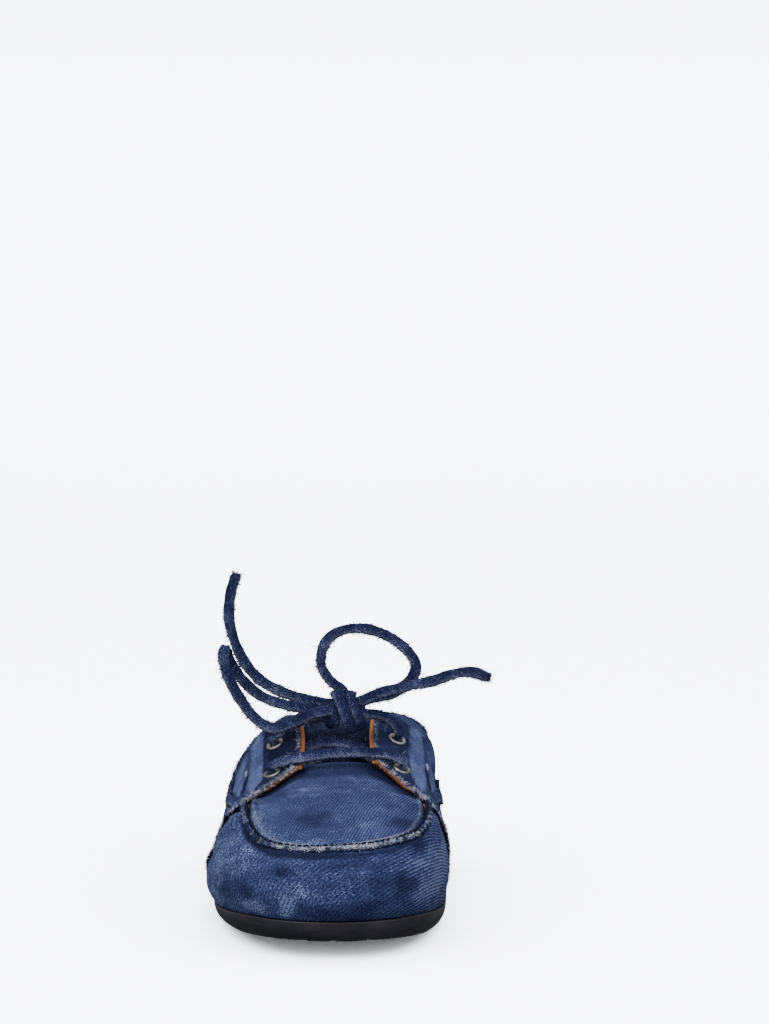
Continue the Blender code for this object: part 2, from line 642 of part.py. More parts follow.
# The bow's route, point by point: x, s, z of the lace's middle, from the knot outwards.
KNOT_BOX = ((-0.7, 101.0, 73.5), (13.0, 118.5, 90.0))
BOW = {
    "lace_loop_left": ((-1.2, 109.6, 83.6), (-6.0, 109.4, 83.4), (-13.9, 108.6, 83.8),
                       (-24.6, 107.6, 86.4), (-33.1, 106.6, 91.0), (-40.2, 105.6, 98.8),
                       (-44.0, 104.4, 106.0), (-45.6, 101.2, 110.4), (-46.0, 98.4, 105.6),
                       (-43.6, 97.4, 98.0), (-39.0, 97.2, 89.4), (-32.6, 97.0, 81.2),
                       (-25.4, 97.4, 77.0), (-17.3, 99.4, 79.0), (-8.8, 102.2, 82.2),
                       (-1.2, 103.6, 82.6)),
    "lace_loop_top": ((3.2, 112.0, 91.8), (0.6, 112.2, 93.4), (-2.0, 112.8, 96.0),
                      (-4.9, 114.0, 101.6), (-3.6, 115.0, 109.7),
                      (1.5, 116.0, 114.8), (10.1, 117.0, 116.7), (18.7, 117.0, 115.4), (27.3, 116.0, 111.2),
                      (33.7, 115.0, 105.3), (35.8, 114.0, 99.8), (32.3, 113.6, 93.5), (25.5, 113.4, 88.7),
                      (13.6, 113.0, 86.6)),
    "lace_end_left": ((-1.5, 115.6, 84.2), (-6.0, 115.7, 84.8), (-11.8, 116.0, 86.1),
                      (-21.3, 116.6, 89.0), (-30.3, 117.2, 93.8), (-37.1, 117.8, 101.0),
                      (-41.8, 118.4, 110.5), (-44.4, 119.0, 121.8), (-43.5, 120.0, 132.0),
                      (-40.9, 121.0, 140.1)),
    "lace_end_right": ((13.6, 106.6, 87.6), (20.7, 106.2, 90.6), (32.6, 105.6, 93.5), (42.4, 104.8, 95.7),
                       (51.3, 104.0, 98.8), (58.9, 103.0, 99.9), (67.0, 102.0, 97.4)),
}


def smooth_route(points, steps):
    """Points along a smooth curve through a route, steps to each of its stretches."""
    rows = [np.array(point, float) for point in points]
    return [along(rows, i / steps) for i in range((len(rows) - 1) * steps + 1)]


def even_route(points, spacing):
    """A smooth route, read again at even distances."""
    fine = smooth_route(points, 12)
    travelled = [0.0]
    for a, b in zip(fine, fine[1:]):
        travelled.append(travelled[-1] + np.linalg.norm(b - a))
    count = max(round(travelled[-1] / spacing), 2)
    marks = [travelled[-1] * i / count for i in range(count + 1)]
    return [np.array([np.interp(mark, travelled, [p[k] for p in fine]) for k in range(3)])
            for mark in marks]


def make_tube(name, points, radius, finish):
    """A lace's tube along points of the shoemaker's frame."""
    curve = bpy.data.curves.new(name, "CURVE")
    curve.dimensions = "3D"
    curve.bevel_depth = radius * MM
    curve.bevel_resolution = 2
    curve.use_fill_caps = True
    spline = curve.splines.new("POLY")
    spline.points.add(len(points) - 1)
    for knot, point in zip(spline.points, points):
        knot.co = (*place(point), 1.0)
    item = bpy.data.objects.new(name, curve)
    shoe.objects.link(item)
    curve.materials.append(finish)
    return item


def through_eyelet(side, which, heights):
    """Points on an eyelet's axis, at heights over the quarter's outer face."""
    return [tuple(eyelet_axis(side, which, height)[0]) for height in heights]


def make_lacing(finish):
    """One run of lace: knot, down an upper eyelet, across inside, and over the front bar."""
    down = (3.4, 1.4, -0.8, -2.7)
    route = [(-1.7, 113.0, 79.0), (-5.5, 114.6, 78.8), (-12.0, 117.4, 77.0), (-18.6, 118.8, 74.6)]
    route += through_eyelet(-1, "upper", down)
    route += [(-21.6, 119.2, 62.4), (-18.6, 118.2, 63.1), (-15.2, 116.8, 63.9), (-11.0, 115.0, 64.9),
              (-6.0, 112.8, 67.4), (0.0, 111.0, 68.4), (6.0, 109.4, 67.6), (12.0, 108.0, 65.2),
              (18.0, 105.6, 61.2), (24.2, 101.2, 57.0)]
    route += through_eyelet(1, "lower", (-2.7, -0.8, 1.4, 3.4))
    route += [(25.2, 98.2, 64.8), (19.5, 98.6, 65.6), (13.0, 98.2, 66.2), (6.0, 97.8, 66.2),
              (-1.0, 97.8, 65.8), (-8.0, 98.0, 64.8), (-14.0, 98.8, 63.8), (-20.0, 99.0, 62.6)]
    route += through_eyelet(-1, "lower", (3.4, 1.4, -0.8, -2.0))
    route += [(-23.0, 101.0, 55.2), (-20.2, 103.6, 55.4), (-15.0, 106.6, 58.4), (-8.0, 109.0, 61.2),
              (0.0, 111.2, 63.2), (8.0, 113.6, 64.2), (15.0, 116.0, 64.4), (21.4, 118.0, 63.6)]
    route += through_eyelet(1, "upper", down[::-1])
    route += [(25.4, 117.4, 76.0), (20.0, 116.6, 79.0), (14.0, 114.6, 80.0)]
    return make_tube("lace_lacing", smooth_route(route, 2), LACE_IN_HOLE / 2, finish)


def make_knot(finish):
    low, high = (np.array(corner) for corner in KNOT_BOX)
    work = bmesh.new()
    bmesh.ops.create_cube(work, size=1.0)
    bmesh.ops.scale(work, vec=(high - low) * MM, verts=work.verts)
    mesh = bpy.data.meshes.new("lace_knot")
    work.to_mesh(mesh)
    work.free()
    item = add_object("lace_knot", mesh, finish)
    item.location = place((low + high) / 2)
    rounding = item.modifiers.new("rounding", "BEVEL")
    rounding.width = 3.0 * MM
    rounding.segments = 2
    return item


def make_side_lace(side, name, finish):
    """The lace threaded along the collar: a flat band on the quarter, level from end to end."""
    level, thickness = SIDE_LACE_LEVEL, SIDE_LACE_THICK
    rows = spread(SECTION_NAMES.index("facing foot") + 0.15, SECTION_NAMES.index("collar peak") + 0.4, 12)
    grid = []
    for turn in rows:
        u = TOE + side * turn
        heights = (level - LACE / 2, level, level + LACE / 2)
        grid.append([lifted(u, v_at_height(u, height), QUARTER_RISE + GAP + thickness)
                     for height in heights])
    mesh = grid_mesh(name, grid)
    if outward_share(mesh, side) < 0:
        mesh.flip_normals()
    item = add_object(name, mesh, finish)
    thicken(item, thickness)
    return item


def v_at_height(u, height):
    """Where on section u the form reaches a height."""
    low, high = 0.0, 1.0
    for _ in range(30):
        middle = (low + high) / 2
        if base(u, middle)[2] < height:
            low = middle
        else:
            high = middle
    return (low + high) / 2


def outward_share(mesh, side):
    return sum(face.normal.x * face.area for face in mesh.polygons) * side


# ---------------------------------------------------------------- build

start_scene()
make_outsole()
make_insole()
make_upper()
for side, word in ((-1, "lateral"), (1, "medial")):
    make_quarter(side, "quarter_" + word)
    for which in ("lower", "upper"):
        make_eyelet(side, which, "eyelet_" + which + "_" + word)
make_tongue()
lace_denim = material("lace_denim", (0.012, 0.018, 0.07), 0.9)
make_lacing(lace_denim)
make_knot(lace_denim)
for name, route in BOW.items():
    make_tube(name, even_route(route, 2.0 * LACE), LACE / 2, lace_denim)
for side, word in ((-1, "lateral"), (1, "medial")):
    make_side_lace(side, "side_lace_" + word, lace_denim)
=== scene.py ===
"""Looks of a right boat-shoe mule in washed denim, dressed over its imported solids.

Tables are in millimetres in the shoemaker's frame: x across (lateral negative), s back
from the toe's tip, z up. place() takes such points into the scene's metres.
"""

import math

import bmesh
import bpy
import numpy as np
from mathutils import Matrix, Vector, noise


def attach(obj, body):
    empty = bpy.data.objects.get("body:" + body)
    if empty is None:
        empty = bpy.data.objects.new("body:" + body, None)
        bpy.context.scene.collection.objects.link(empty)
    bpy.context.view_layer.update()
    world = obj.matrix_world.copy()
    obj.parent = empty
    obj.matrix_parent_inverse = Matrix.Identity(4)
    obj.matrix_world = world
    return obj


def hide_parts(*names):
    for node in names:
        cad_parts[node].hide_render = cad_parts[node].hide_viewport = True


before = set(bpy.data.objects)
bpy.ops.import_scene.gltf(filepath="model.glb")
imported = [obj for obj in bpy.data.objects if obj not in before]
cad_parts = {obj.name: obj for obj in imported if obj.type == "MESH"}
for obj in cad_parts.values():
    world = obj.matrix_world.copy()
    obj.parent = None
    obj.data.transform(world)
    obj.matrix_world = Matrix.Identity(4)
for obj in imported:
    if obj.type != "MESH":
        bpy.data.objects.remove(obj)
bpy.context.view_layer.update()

# ---------------------------------------------------------------- the studio
# A pale sweep of floor under even light, with the camera low in front of the toe. The
# lamps over the floor light only it, so that it stays near white behind dark cloth.

MM = 0.001
CENTRE = np.array([-1.71, 133.68, 0.0])      # middle of the shoe, on the floor


def place(points):
    return (np.asarray(points, float) - CENTRE) * MM


TOE_TIP = np.array([0.0, 0.0, 17.0])
CAMERA_DISTANCE, CAMERA_RISE = 1300.0, math.radians(14)
AIM_DOWN, AIM_ASIDE = math.radians(-6.81), math.radians(-0.93)

lens = bpy.data.cameras.new("camera")
lens.lens = 114.26
lens.clip_start = 0.05
camera = bpy.data.objects.new("camera", lens)
bpy.context.scene.collection.objects.link(camera)
back = np.array([0.0, -math.cos(CAMERA_RISE), math.sin(CAMERA_RISE)])
camera.location = place(TOE_TIP + CAMERA_DISTANCE * back)
camera.rotation_euler = (math.pi / 2 + AIM_DOWN, 0.0, AIM_ASIDE)
bpy.context.scene.camera = camera


class Value:
    """A socket of a material, with Python's arithmetic as Math nodes."""

    def __init__(self, paint, socket):
        self.paint, self.socket = paint, socket

    def math(self, operation, *others):
        return self.paint.node("ShaderNodeMath", {"operation": operation},
                               {i: part for i, part in enumerate((self, *others))})

    def __add__(self, other):
        return self.math("ADD", other)

    def __sub__(self, other):
        return self.math("SUBTRACT", other)

    def __mul__(self, other):
        return self.math("MULTIPLY", other)

    def __rsub__(self, other):
        return self.paint.node("ShaderNodeMath", {"operation": "SUBTRACT"}, {0: other, 1: self})

    __radd__, __rmul__ = __add__, __mul__

    def clamped(self):
        return self.paint.node("ShaderNodeClamp", {}, {"Value": self, "Min": 0.0, "Max": 1.0})

    def step(self, start, end):
        """0 below start, 1 above end, smooth between."""
        return self.paint.node("ShaderNodeMapRange", {"interpolation_type": "SMOOTHSTEP"},
                               {"Value": self, "From Min": start, "From Max": end})


class Paint:
    """A material under its Principled shader; node() adds any node and gives its output."""

    def __init__(self, name, **constants):
        self.material = bpy.data.materials.new(name)
        self.material.use_nodes = True
        self.tree = self.material.node_tree
        self.shader = self.tree.nodes["Principled BSDF"]
        for socket, value in constants.items():
            self.shader.inputs[socket.replace("_", " ")].default_value = value

    def node(self, kind, settings, inputs, output=0):
        made = self.tree.nodes.new(kind)
        for key, value in settings.items():
            if key == "stops":
                ramp = made.color_ramp.elements
                while len(ramp) < len(value):
                    ramp.new(0.5)
                for element, (position, colour) in zip(ramp, value):
                    element.position = position
                    element.color = (*colour, 1.0)
            else:
                setattr(made, key, value)
        for key, value in inputs.items():
            self.join(made.inputs[key], value)
        return Value(self, made.outputs[output])

    def join(self, socket, value):
        if isinstance(value, Value):
            self.tree.links.new(value.socket, socket)
        else:
            socket.default_value = value

    def noise(self, vector, scale, detail=2.0, roughness=0.5):
        return self.node("ShaderNodeTexNoise", {}, {"Vector": vector, "Scale": scale, "Detail": detail,
                                                    "Roughness": roughness})

    def mix(self, factor, first, second):
        """Colours mixed by a factor; a plain colour is red, green and blue."""
        first, second = (part if isinstance(part, Value) else (*part, 1.0) for part in (first, second))
        return self.node("ShaderNodeMix", {"data_type": "RGBA"}, {0: factor, 6: first, 7: second}, 2)

    def mapped(self, vector, scale, turn=0.0):
        return self.node("ShaderNodeMapping", {}, {"Vector": vector, "Scale": scale,
                                                   "Rotation": (0.0, 0.0, turn)})

    def attribute(self, name):
        return self.node("ShaderNodeAttribute", {"attribute_name": name}, {}, "Fac")

    def cloth(self):
        """The piece's own cloth coordinates, in millimetres."""
        return self.node("ShaderNodeUVMap", {"uv_map": "cloth"}, {})

    def place(self):
        return self.node("ShaderNodeTexCoord", {}, {}, "Object")

    def finish(self, **links):
        for socket, value in links.items():
            self.join(self.shader.inputs[socket.replace("_", " ")], value)
        return self.material

    def bump(self, height, strength, distance):
        return self.node("ShaderNodeBump", {}, {"Strength": strength, "Distance": distance,
                                                "Height": height})


def mesh_of(name, work):
    """A mesh of what a bmesh holds, which is then freed."""
    mesh = bpy.data.meshes.new(name)
    work.to_mesh(mesh)
    work.free()
    return mesh


FLOOR_SIZE, SWEEP_RADIUS = 9.0, 0.8
SWEEP_START = FLOOR_SIZE / 2 - 3.2            # from here back the floor bends up into a wall
work = bmesh.new()
bmesh.ops.create_grid(work, x_segments=1, y_segments=60, size=FLOOR_SIZE / 2)
for vert in work.verts:
    past = vert.co.y - SWEEP_START
    turn = min(max(past / SWEEP_RADIUS, 0.0), math.pi / 2)
    if past > 0:
        vert.co.y = SWEEP_START + math.sin(turn) * SWEEP_RADIUS
        vert.co.z = (1 - math.cos(turn)) * SWEEP_RADIUS + past - turn * SWEEP_RADIUS
mesh = mesh_of("floor", work)
mesh.shade_smooth()
floor = bpy.data.objects.new("floor", mesh)
paper = Paint("floor_paper", Roughness=0.9)
flecks = paper.noise(paper.place(), 3.0)
floor.data.materials.append(paper.finish(
    Base_Color=paper.mix(flecks, (0.84, 0.85, 0.88), (0.86, 0.865, 0.89))))
floor.visible_diffuse = False
floor.visible_glossy = False
bpy.context.scene.collection.objects.link(floor)
floor_only = bpy.data.collections.new("floor_only")
floor_only.objects.link(floor)

LIT_PLACE = Vector((0.0, -0.05, 0.03))
# Soft boxes: name, place in metres, size, power, colour.
for name, where, size, power, colour in (
        ("key", (-0.7, -0.9, 1.5), 0.9, 17.0, (1.0, 0.99, 0.97)),
        ("fill", (1.0, -1.1, 0.8), 1.2, 5.0, (0.97, 0.98, 1.0))):
    light = bpy.data.lights.new(name, "AREA")
    light.shape = "SQUARE"
    light.size = size
    light.energy = power
    light.color = colour
    item = bpy.data.objects.new(name, light)
    item.location = where
    item.rotation_euler = (LIT_PLACE - Vector(where)).to_track_quat("-Z", "Y").to_euler()
    bpy.context.scene.collection.objects.link(item)
for name, tilt, strength in (("floor_wash", 0.0, 26.0), ("wall_wash", 90.0, 20.0)):
    wash = bpy.data.lights.new(name, "SUN")
    wash.energy = strength
    wash.angle = math.radians(120)
    wash.color = (0.93, 0.945, 1.0)
    item = bpy.data.objects.new(name, wash)
    item.rotation_euler = (math.radians(tilt), 0.0, 0.0)
    bpy.context.scene.collection.objects.link(item)
    item.light_linking.receiver_collection = floor_only
world = bpy.data.worlds.new("studio")
bpy.context.scene.world = world
world.use_nodes = True
sky = world.node_tree.nodes
around = sky.new("ShaderNodeTexCoord")
split = sky.new("ShaderNodeSeparateXYZ")
height = sky.new("ShaderNodeMapRange")
for socket, value in (("From Min", -0.35), ("From Max", 0.55), ("To Min", 0.12), ("To Max", 0.70)):
    height.inputs[socket].default_value = value
world.node_tree.links.new(around.outputs["Generated"], split.inputs[0])
world.node_tree.links.new(split.outputs["Z"], height.inputs["Value"])
world.node_tree.links.new(height.outputs[0], sky["Background"].inputs["Strength"])
sky["Background"].inputs["Color"].default_value = (0.96, 0.97, 1.0, 1.0)

# ---------------------------------------------------------------- outsole
# One moulding of black rubber: a low cup with toe spring, arch and a rolled lower edge,
# cemented to the upper, with blocks of tread under the forefoot and heel.

LENGTH = 268.0
GAP, SEAT = 0.3, 0.5                          # mm between pieces, and over the sole to what it carries
# Sections of the last from the toe back, a row each: the sole's edge, the shoulder where the
# side turns over, the open edge, the handles of the side's curve, and how far the flap bows.
SECTION_COLUMNS = ("sole_x", "sole_s", "shoulder_x", "shoulder_s", "shoulder_z",
                   "edge_x", "edge_s", "edge_z", "belly_out", "belly_up", "brow_out", "brow_up",
                   "flap_bow")
TOE_SECTION = (0.0, 0.4, -0.5, 20.0, 42.0, -0.5, 20.0, 42.0, 4.6, 13.0, 12.0, 0.5, 0.2)
LATERAL_SECTIONS = {
    "toe side":     (-23.5, 7.2, -15.0, 21.6, 41.6, -15.0, 21.6, 41.6, 4.6, 13.0, 12.0, 0.3, 0.20),
    "toe corner":   (-39.0, 25.2, -26.6, 27.6, 43.0, -26.6, 27.6, 43.0, 5.4, 13.0, 11.5, -0.4, 0.20),
    "toe box":      (-46.2, 46.5, -32.4, 42.0, 46.0, -32.4, 42.0, 46.0, 6.0, 14.0, 11.5, -1.0, 0.20),
    "ball front":   (-49.3, 68.0, -35.0, 60.0, 49.4, -35.0, 60.0, 49.4, 6.2, 15.0, 11.0, -1.5, 0.20),
    "seam corner":  (-50.1, 85.0, -34.8, 72.0, 50.6, -34.8, 72.0, 50.6, 6.0, 16.0, 11.0, -3.0, 0.15),
    "wing":         (-50.2, 93.0, -36.8, 85.0, 50.4, -25.0, 83.5, 54.7, 5.8, 17.0, 9.5, -5.5, 0.12),
    "facing foot":  (-49.9, 101.0, -38.2, 98.0, 51.0, -13.9, 97.0, 59.6, 5.6, 17.5, 8.0, -7.5, 0.12),
    "facing mid":   (-48.9, 117.0, -37.8, 116.0, 55.0, -13.2, 116.0, 67.2, 5.2, 19.0, 6.8, -8.5, 0.36),
    "facing top":   (-47.6, 133.0, -37.2, 133.0, 58.6, -14.4, 135.0, 74.4, 4.8, 20.0, 6.2, -9.5, 0.45),
    "collar front": (-47.0, 139.0, -37.6, 140.0, 58.8, -20.0, 139.5, 73.6, 4.6, 20.0, 5.8, -9.5, 0.45),
    "collar peak":  (-46.4, 145.0, -39.4, 146.0, 56.2, -32.0, 145.0, 66.2, 4.4, 19.0, 4.8, -9.5, 0.45),
    "collar brow":  (-45.4, 153.0, -42.4, 153.0, 49.6, -40.4, 152.0, 55.6, 4.0, 16.0, 3.0, -9.0, 0.40),
    "collar side":  (-43.8, 163.0, -44.6, 161.0, 41.0, -44.4, 160.5, 44.6, 3.2, 11.0, 1.6, -8.0, 0.30),
    "collar fall":  (-41.9, 174.0, -43.6, 171.0, 30.4, -43.6, 170.5, 32.4, 2.0, 6.5, 0.9, -5.0, 0.30),
    "collar foot":  (-39.8, 186.0, -40.4, 183.5, 20.4, -40.4, 183.2, 21.4, 0.4, 1.4, 0.2, -1.2, 0.30),
}
MEDIAL_SECTIONS = {
    "toe side":     (23.5, 6.4, 16.4, 21.2, 43.0, 16.4, 21.2, 43.0, 4.0, 13.0, 11.0, 0.2, 0.20),
    "toe corner":   (38.2, 23.0, 31.0, 27.6, 45.6, 31.0, 27.6, 45.6, 3.6, 14.0, 9.0, -0.8, 0.20),
    "toe box":      (44.6, 44.0, 37.0, 42.0, 48.4, 37.0, 42.0, 48.4, 3.0, 15.0, 8.0, -1.8, 0.20),
    "ball front":   (47.0, 65.0, 38.4, 57.0, 50.2, 38.4, 57.0, 50.2, 2.8, 15.5, 7.6, -2.4, 0.20),
    "seam corner":  (47.7, 84.0, 38.0, 70.0, 50.8, 38.0, 70.0, 50.8, 2.6, 16.5, 7.4, -4.0, 0.15),
    "wing":         (47.6, 92.0, 38.8, 84.0, 51.4, 29.0, 83.0, 55.0, 2.4, 18.0, 6.8, -6.0, 0.12),
    "facing foot":  (47.1, 101.0, 39.4, 98.0, 53.2, 17.9, 97.0, 62.0, 2.4, 19.0, 6.0, -8.0, 0.12),
    "facing mid":   (45.5, 117.0, 39.0, 116.0, 58.0, 17.2, 116.0, 68.4, 3.0, 21.0, 5.2, -9.5, 0.36),
    "facing top":   (42.9, 133.0, 38.4, 134.0, 62.6, 18.0, 136.0, 75.0, 3.6, 23.0, 5.0, -11.0, 0.45),
    "collar front": (41.6, 139.0, 38.6, 140.0, 63.6, 23.0, 141.0, 74.8, 3.8, 23.0, 5.0, -11.0, 0.45),
    "collar peak":  (40.3, 145.0, 39.6, 146.0, 62.8, 32.4, 147.0, 72.0, 4.0, 22.0, 4.6, -11.0, 0.45),
    "collar brow":  (38.6, 153.0, 41.4, 153.0, 58.6, 39.6, 153.0, 66.2, 4.0, 18.0, 2.6, -12.0, 0.40),
    "collar side":  (37.0, 163.0, 41.6, 162.0, 51.0, 41.4, 161.5, 55.4, 3.8, 13.0, 0.6, -10.0, 0.30),
    "collar fall":  (35.6, 174.0, 40.0, 171.5, 37.4, 40.0, 171.0, 40.0, 3.0, 7.0, -0.4, -7.0, 0.30),
    "collar foot":  (34.6, 186.0, 35.6, 183.5, 20.6, 35.6, 183.2, 21.8, 0.6, 1.4, 0.0, -1.2, 0.30),
}
# The sole's edge behind the upper, from the medial waist round the heel: x, s.
HEEL_OUTLINE = ((33.8, 205.0), (33.6, 228.0), (29.0, 247.4), (16.6, 263.2), (-1.0, LENGTH - 0.2),
                (-18.0, 263.2), (-31.0, 247.4), (-36.2, 228.0), (-37.2, 205.0))
CORNERS = ("seam corner", "facing foot", "facing top")
# Height of the sole's top edge and of its underside: s, top, underside.
SOLE_PROFILE = np.array((
    (0.0, 16.6, 8.3), (14.0, 15.9, 6.7), (28.0, 14.3, 4.8), (43.0, 12.2, 2.8), (60.0, 10.0, 0.9),
    (76.0, 9.0, 0.0), (100.0, 8.8, 0.0), (128.0, 9.6, 0.0), (150.0, 11.8, 1.8), (172.0, 14.8, 1.8),
    (188.0, 16.9, 0.0), (225.0, 20.6, 0.0), (258.0, 22.8, 0.0), (LENGTH, 23.4, 1.6)))

NAMES = ["toe"] + list(LATERAL_SECTIONS)
TOE = len(LATERAL_SECTIONS)
SECTIONS = np.array(list(LATERAL_SECTIONS.values())[::-1] + [TOE_SECTION] + list(MEDIAL_SECTIONS.values()))
SHARP = [TOE + side * NAMES.index(name) for name in CORNERS for side in (-1, 1)]


def columns_of(*names):
    return SECTIONS[:, [SECTION_COLUMNS.index(name) for name in names]]


SHOULDER_LINE = columns_of("shoulder_x", "shoulder_s", "shoulder_z")
OPEN_EDGE = columns_of("edge_x", "edge_s", "edge_z")
HANDLES = columns_of("belly_out", "belly_up", "brow_out", "brow_up")
FLAP_BOWS = columns_of("flap_bow")
OUTLINE = np.vstack([columns_of("sole_x", "sole_s"), HEEL_OUTLINE])
RING = np.vstack([OUTLINE[-1:], OUTLINE, OUTLINE[:2]])       # closed, for smooth reading
HALF_TURN = len(OUTLINE) / 2


def along(rows, u, corners=()):
    """Smooth values of rows of numbers at rows u (an array), with corners kept."""
    rows, u = np.asarray(rows, float), np.asarray(u, float)
    last = len(rows) - 2
    k = np.clip(np.floor(u).astype(int), 0, last)
    t = (u - k)[..., None]
    a, b = rows[k], rows[k + 1]
    sharp = np.isin(np.arange(len(rows)), list(corners))
    sharp[0] = sharp[-1] = True
    leave = np.where(sharp[k][..., None], b - a, (b - rows[np.maximum(k - 1, 0)]) / 2)
    arrive = np.where(sharp[k + 1][..., None], b - a, (rows[np.minimum(k + 2, last + 1)] - a) / 2)
    return (a * (1 + 2 * t) * (1 - t) ** 2 + leave * t * (1 - t) ** 2
            + b * t * t * (3 - 2 * t) - arrive * t * t * (1 - t))


def bell(value, middle, reach):
    """1 at the middle, dying away over the reach to each side."""
    return np.exp(-((value - middle) / reach) ** 2)


def ramp(value, start, reach):
    """0 up to the start, then rising to 1 over the reach."""
    return np.clip((value - start) / reach, 0, 1)


def fall(value, end, reach):
    """1 at first, then falling over the reach to 0 at the end."""
    return np.clip((end - value) / reach, 0, 1)


def at_station(table, s):
    """Smooth values of a table whose first column is the station."""
    s = np.asarray(s, float)
    stations = table[:, 0]
    k = np.clip(np.searchsorted(stations, s, side="right") - 1, 0, len(table) - 2)
    share = np.clip((s - stations[k]) / (stations[k + 1] - stations[k]), 0.0, 1.0)
    flat = [i for i in range(len(table) - 1) if table[i, -1] == table[i + 1, -1]]
    return along(table[:, 1:], k + share, set(flat) | {i + 1 for i in flat})


def sole_top(s):
    return at_station(SOLE_PROFILE, s)[..., 0]


def sole_under(s):
    return at_station(SOLE_PROFILE, s)[..., 1]


def sole_edge(u):
    """The sole's edge in plan at rows u of the closed outline, and its outward direction."""
    u = np.mod(np.asarray(u, float), len(OUTLINE))
    step = 0.01
    run = along(RING, u + 1 + step) - along(RING, np.maximum(u + 1 - step, 0))
    out = np.stack([run[..., 1], -run[..., 0]], -1)
    return along(RING, u + 1), out / np.linalg.norm(out, axis=-1, keepdims=True)


def edge_inset(u, inset, height):
    """Points inside the sole's edge, at a height."""
    point, out = sole_edge(u)
    inset = np.asarray(inset, float)[..., None]
    return np.concatenate([point - out * inset, np.broadcast_to(height, point.shape[:-1])[..., None]], -1)


STATIONS_FINE = np.linspace(0, HALF_TURN, 800)
WELD = 0.005                                  # mm between points that become one


def turn_at(side, s):
    """Rows past the toe at which a side's edge reaches the stations s."""
    reached = sole_edge(TOE + side * STATIONS_FINE)[0][:, 1]
    return np.interp(s, np.maximum.accumulate(reached), STATIONS_FINE)


def laid_grid(points, cloth, layers):
    """A grid whose corners take the points, in mm, with cloth coordinates and attributes."""
    ny, nx = points.shape[0] - 1, points.shape[1] - 1
    work = bmesh.new()
    uv = work.loops.layers.uv.new("cloth")
    bmesh.ops.create_grid(work, x_segments=nx, y_segments=ny, size=0.5)
    made = {key: work.verts.layers.float.new(key) for key in layers}
    flat = np.array([vert.co[:2] for vert in work.verts]) + 0.5
    column, row = np.rint(flat * (nx, ny)).astype(int).T
    metres = place(points)
    for vert, i, j in zip(work.verts, row, column):
        vert.co = metres[i, j]
        for key, layer in made.items():
            vert[layer] = layers[key][i, j]
    for face in work.faces:
        for loop in face.loops:
            k = loop.vert.index
            loop[uv].uv = cloth[row[k], column[k]]
    return work


def grid_piece(name, nx, ny, shape, finishes, layers=None, weld=False, flat_cloth=None):
    """A piece from a grid: shape(x, y) puts points that run from 0 to 1 each way in place, in mm.

    layers gives vertex attributes the same way; flat_cloth(points, run, rise) may turn the
    lengths along and up the cloth into the coordinates of its flat pattern.
    """
    x, y = np.meshgrid(np.arange(nx + 1) / nx, np.arange(ny + 1) / ny)
    points = shape(x, y)
    run = np.cumsum(np.linalg.norm(np.diff(points, axis=1, prepend=points[:, :1]), axis=-1), 1)
    rise = np.cumsum(np.linalg.norm(np.diff(points, axis=0, prepend=points[:1]), axis=-1), 0)
    run = np.broadcast_to(run.mean(0), run.shape)
    cloth = np.stack([run, rise], -1) if flat_cloth is None else flat_cloth(points, run, rise)
    work = laid_grid(points, cloth, {key: np.broadcast_to(make(x, y, points), x.shape)
                                     for key, make in (layers or {}).items()})
    if weld:
        bmesh.ops.remove_doubles(work, verts=work.verts, dist=WELD * MM)
        bmesh.ops.dissolve_degenerate(work, edges=work.edges, dist=WELD * MM)
    return finish_piece(name, mesh_of(name, work), finishes)


def finish_piece(name, mesh, finishes):
    """Links a mesh as a piece of the shoe with its finishes, hung under the root body."""
    mesh.shade_smooth()
    for finish in finishes:
        mesh.materials.append(finish)
    item = bpy.data.objects.new(name, mesh)
    bpy.context.scene.collection.objects.link(item)
    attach(item, "root")
    return item


def face_outwards(item, inside):
    """Turns an open piece's faces away from a point, in mm."""
    work = bmesh.new()
    work.from_mesh(item.data)
    centre = Vector(place(inside))
    facing = sum(face.normal.dot(face.calc_center_median() - centre) * face.calc_area()
                 for face in work.faces)
    if facing < 0:
        bmesh.ops.reverse_faces(work, faces=work.faces)
    work.to_mesh(item.data)
    work.free()


def rubber(name):
    paint = Paint(name, Metallic=0.0, Specular_IOR_Level=0.3)
    at = paint.place()
    scuff = paint.noise(paint.mapped(at, (160, 40, 700)), 1.0, 3.0)
    cloud = paint.noise(at, 60.0, 3.0)
    grain = paint.noise(at, 2600.0, 1.0)
    tone = (cloud * 0.5 + scuff * 0.5).step(0.35, 0.75)
    return paint.finish(
        Base_Color=paint.mix(tone, (0.026, 0.026, 0.036), (0.052, 0.049, 0.064)),
        Roughness=0.40 + cloud * 0.16,
        Normal=paint.bump(grain + scuff * 0.4, 0.25, 0.0002))


black_rubber = rubber("black_rubber")
# The side from its underside up: distance out, share of the height, and mm on top of it.
SOLE_SIDE = np.array((
    (-4.4, 0.0, 0.35), (-3.0, 0.0, 0.15), (-1.9, 0.03, 0.05), (-1.0, 0.13, 0.0),
    (-0.35, 0.32, 0.0), (0.1, 0.6, 0.0), (0.15, 0.80, 0.0), (0.15, 0.93, 0.0), (0.0, 0.985, 0.0),
    (-0.5, 1.0, 0.0), (-3.0, 1.0, 0.0)))
BANDS, ACROSS = 150, 66                       # strips of the sole's faces, along and across
TIP_S, HEEL_S = 0.4, LENGTH - 0.2
CROWDING = 0.65                               # how much closer the strips lie at both ends
band_share = np.linspace(0, 1, BANDS + 1)
band_share = (1 - CROWDING) * band_share + CROWDING * (0.5 - 0.5 * np.cos(math.pi * band_share))
LATERAL_TURNS, MEDIAL_TURNS = (turn_at(side, TIP_S + (HEEL_S - TIP_S) * band_share) for side in (-1, 1))
for turns in (LATERAL_TURNS, MEDIAL_TURNS):
    turns[0], turns[-1] = 0.0, HALF_TURN
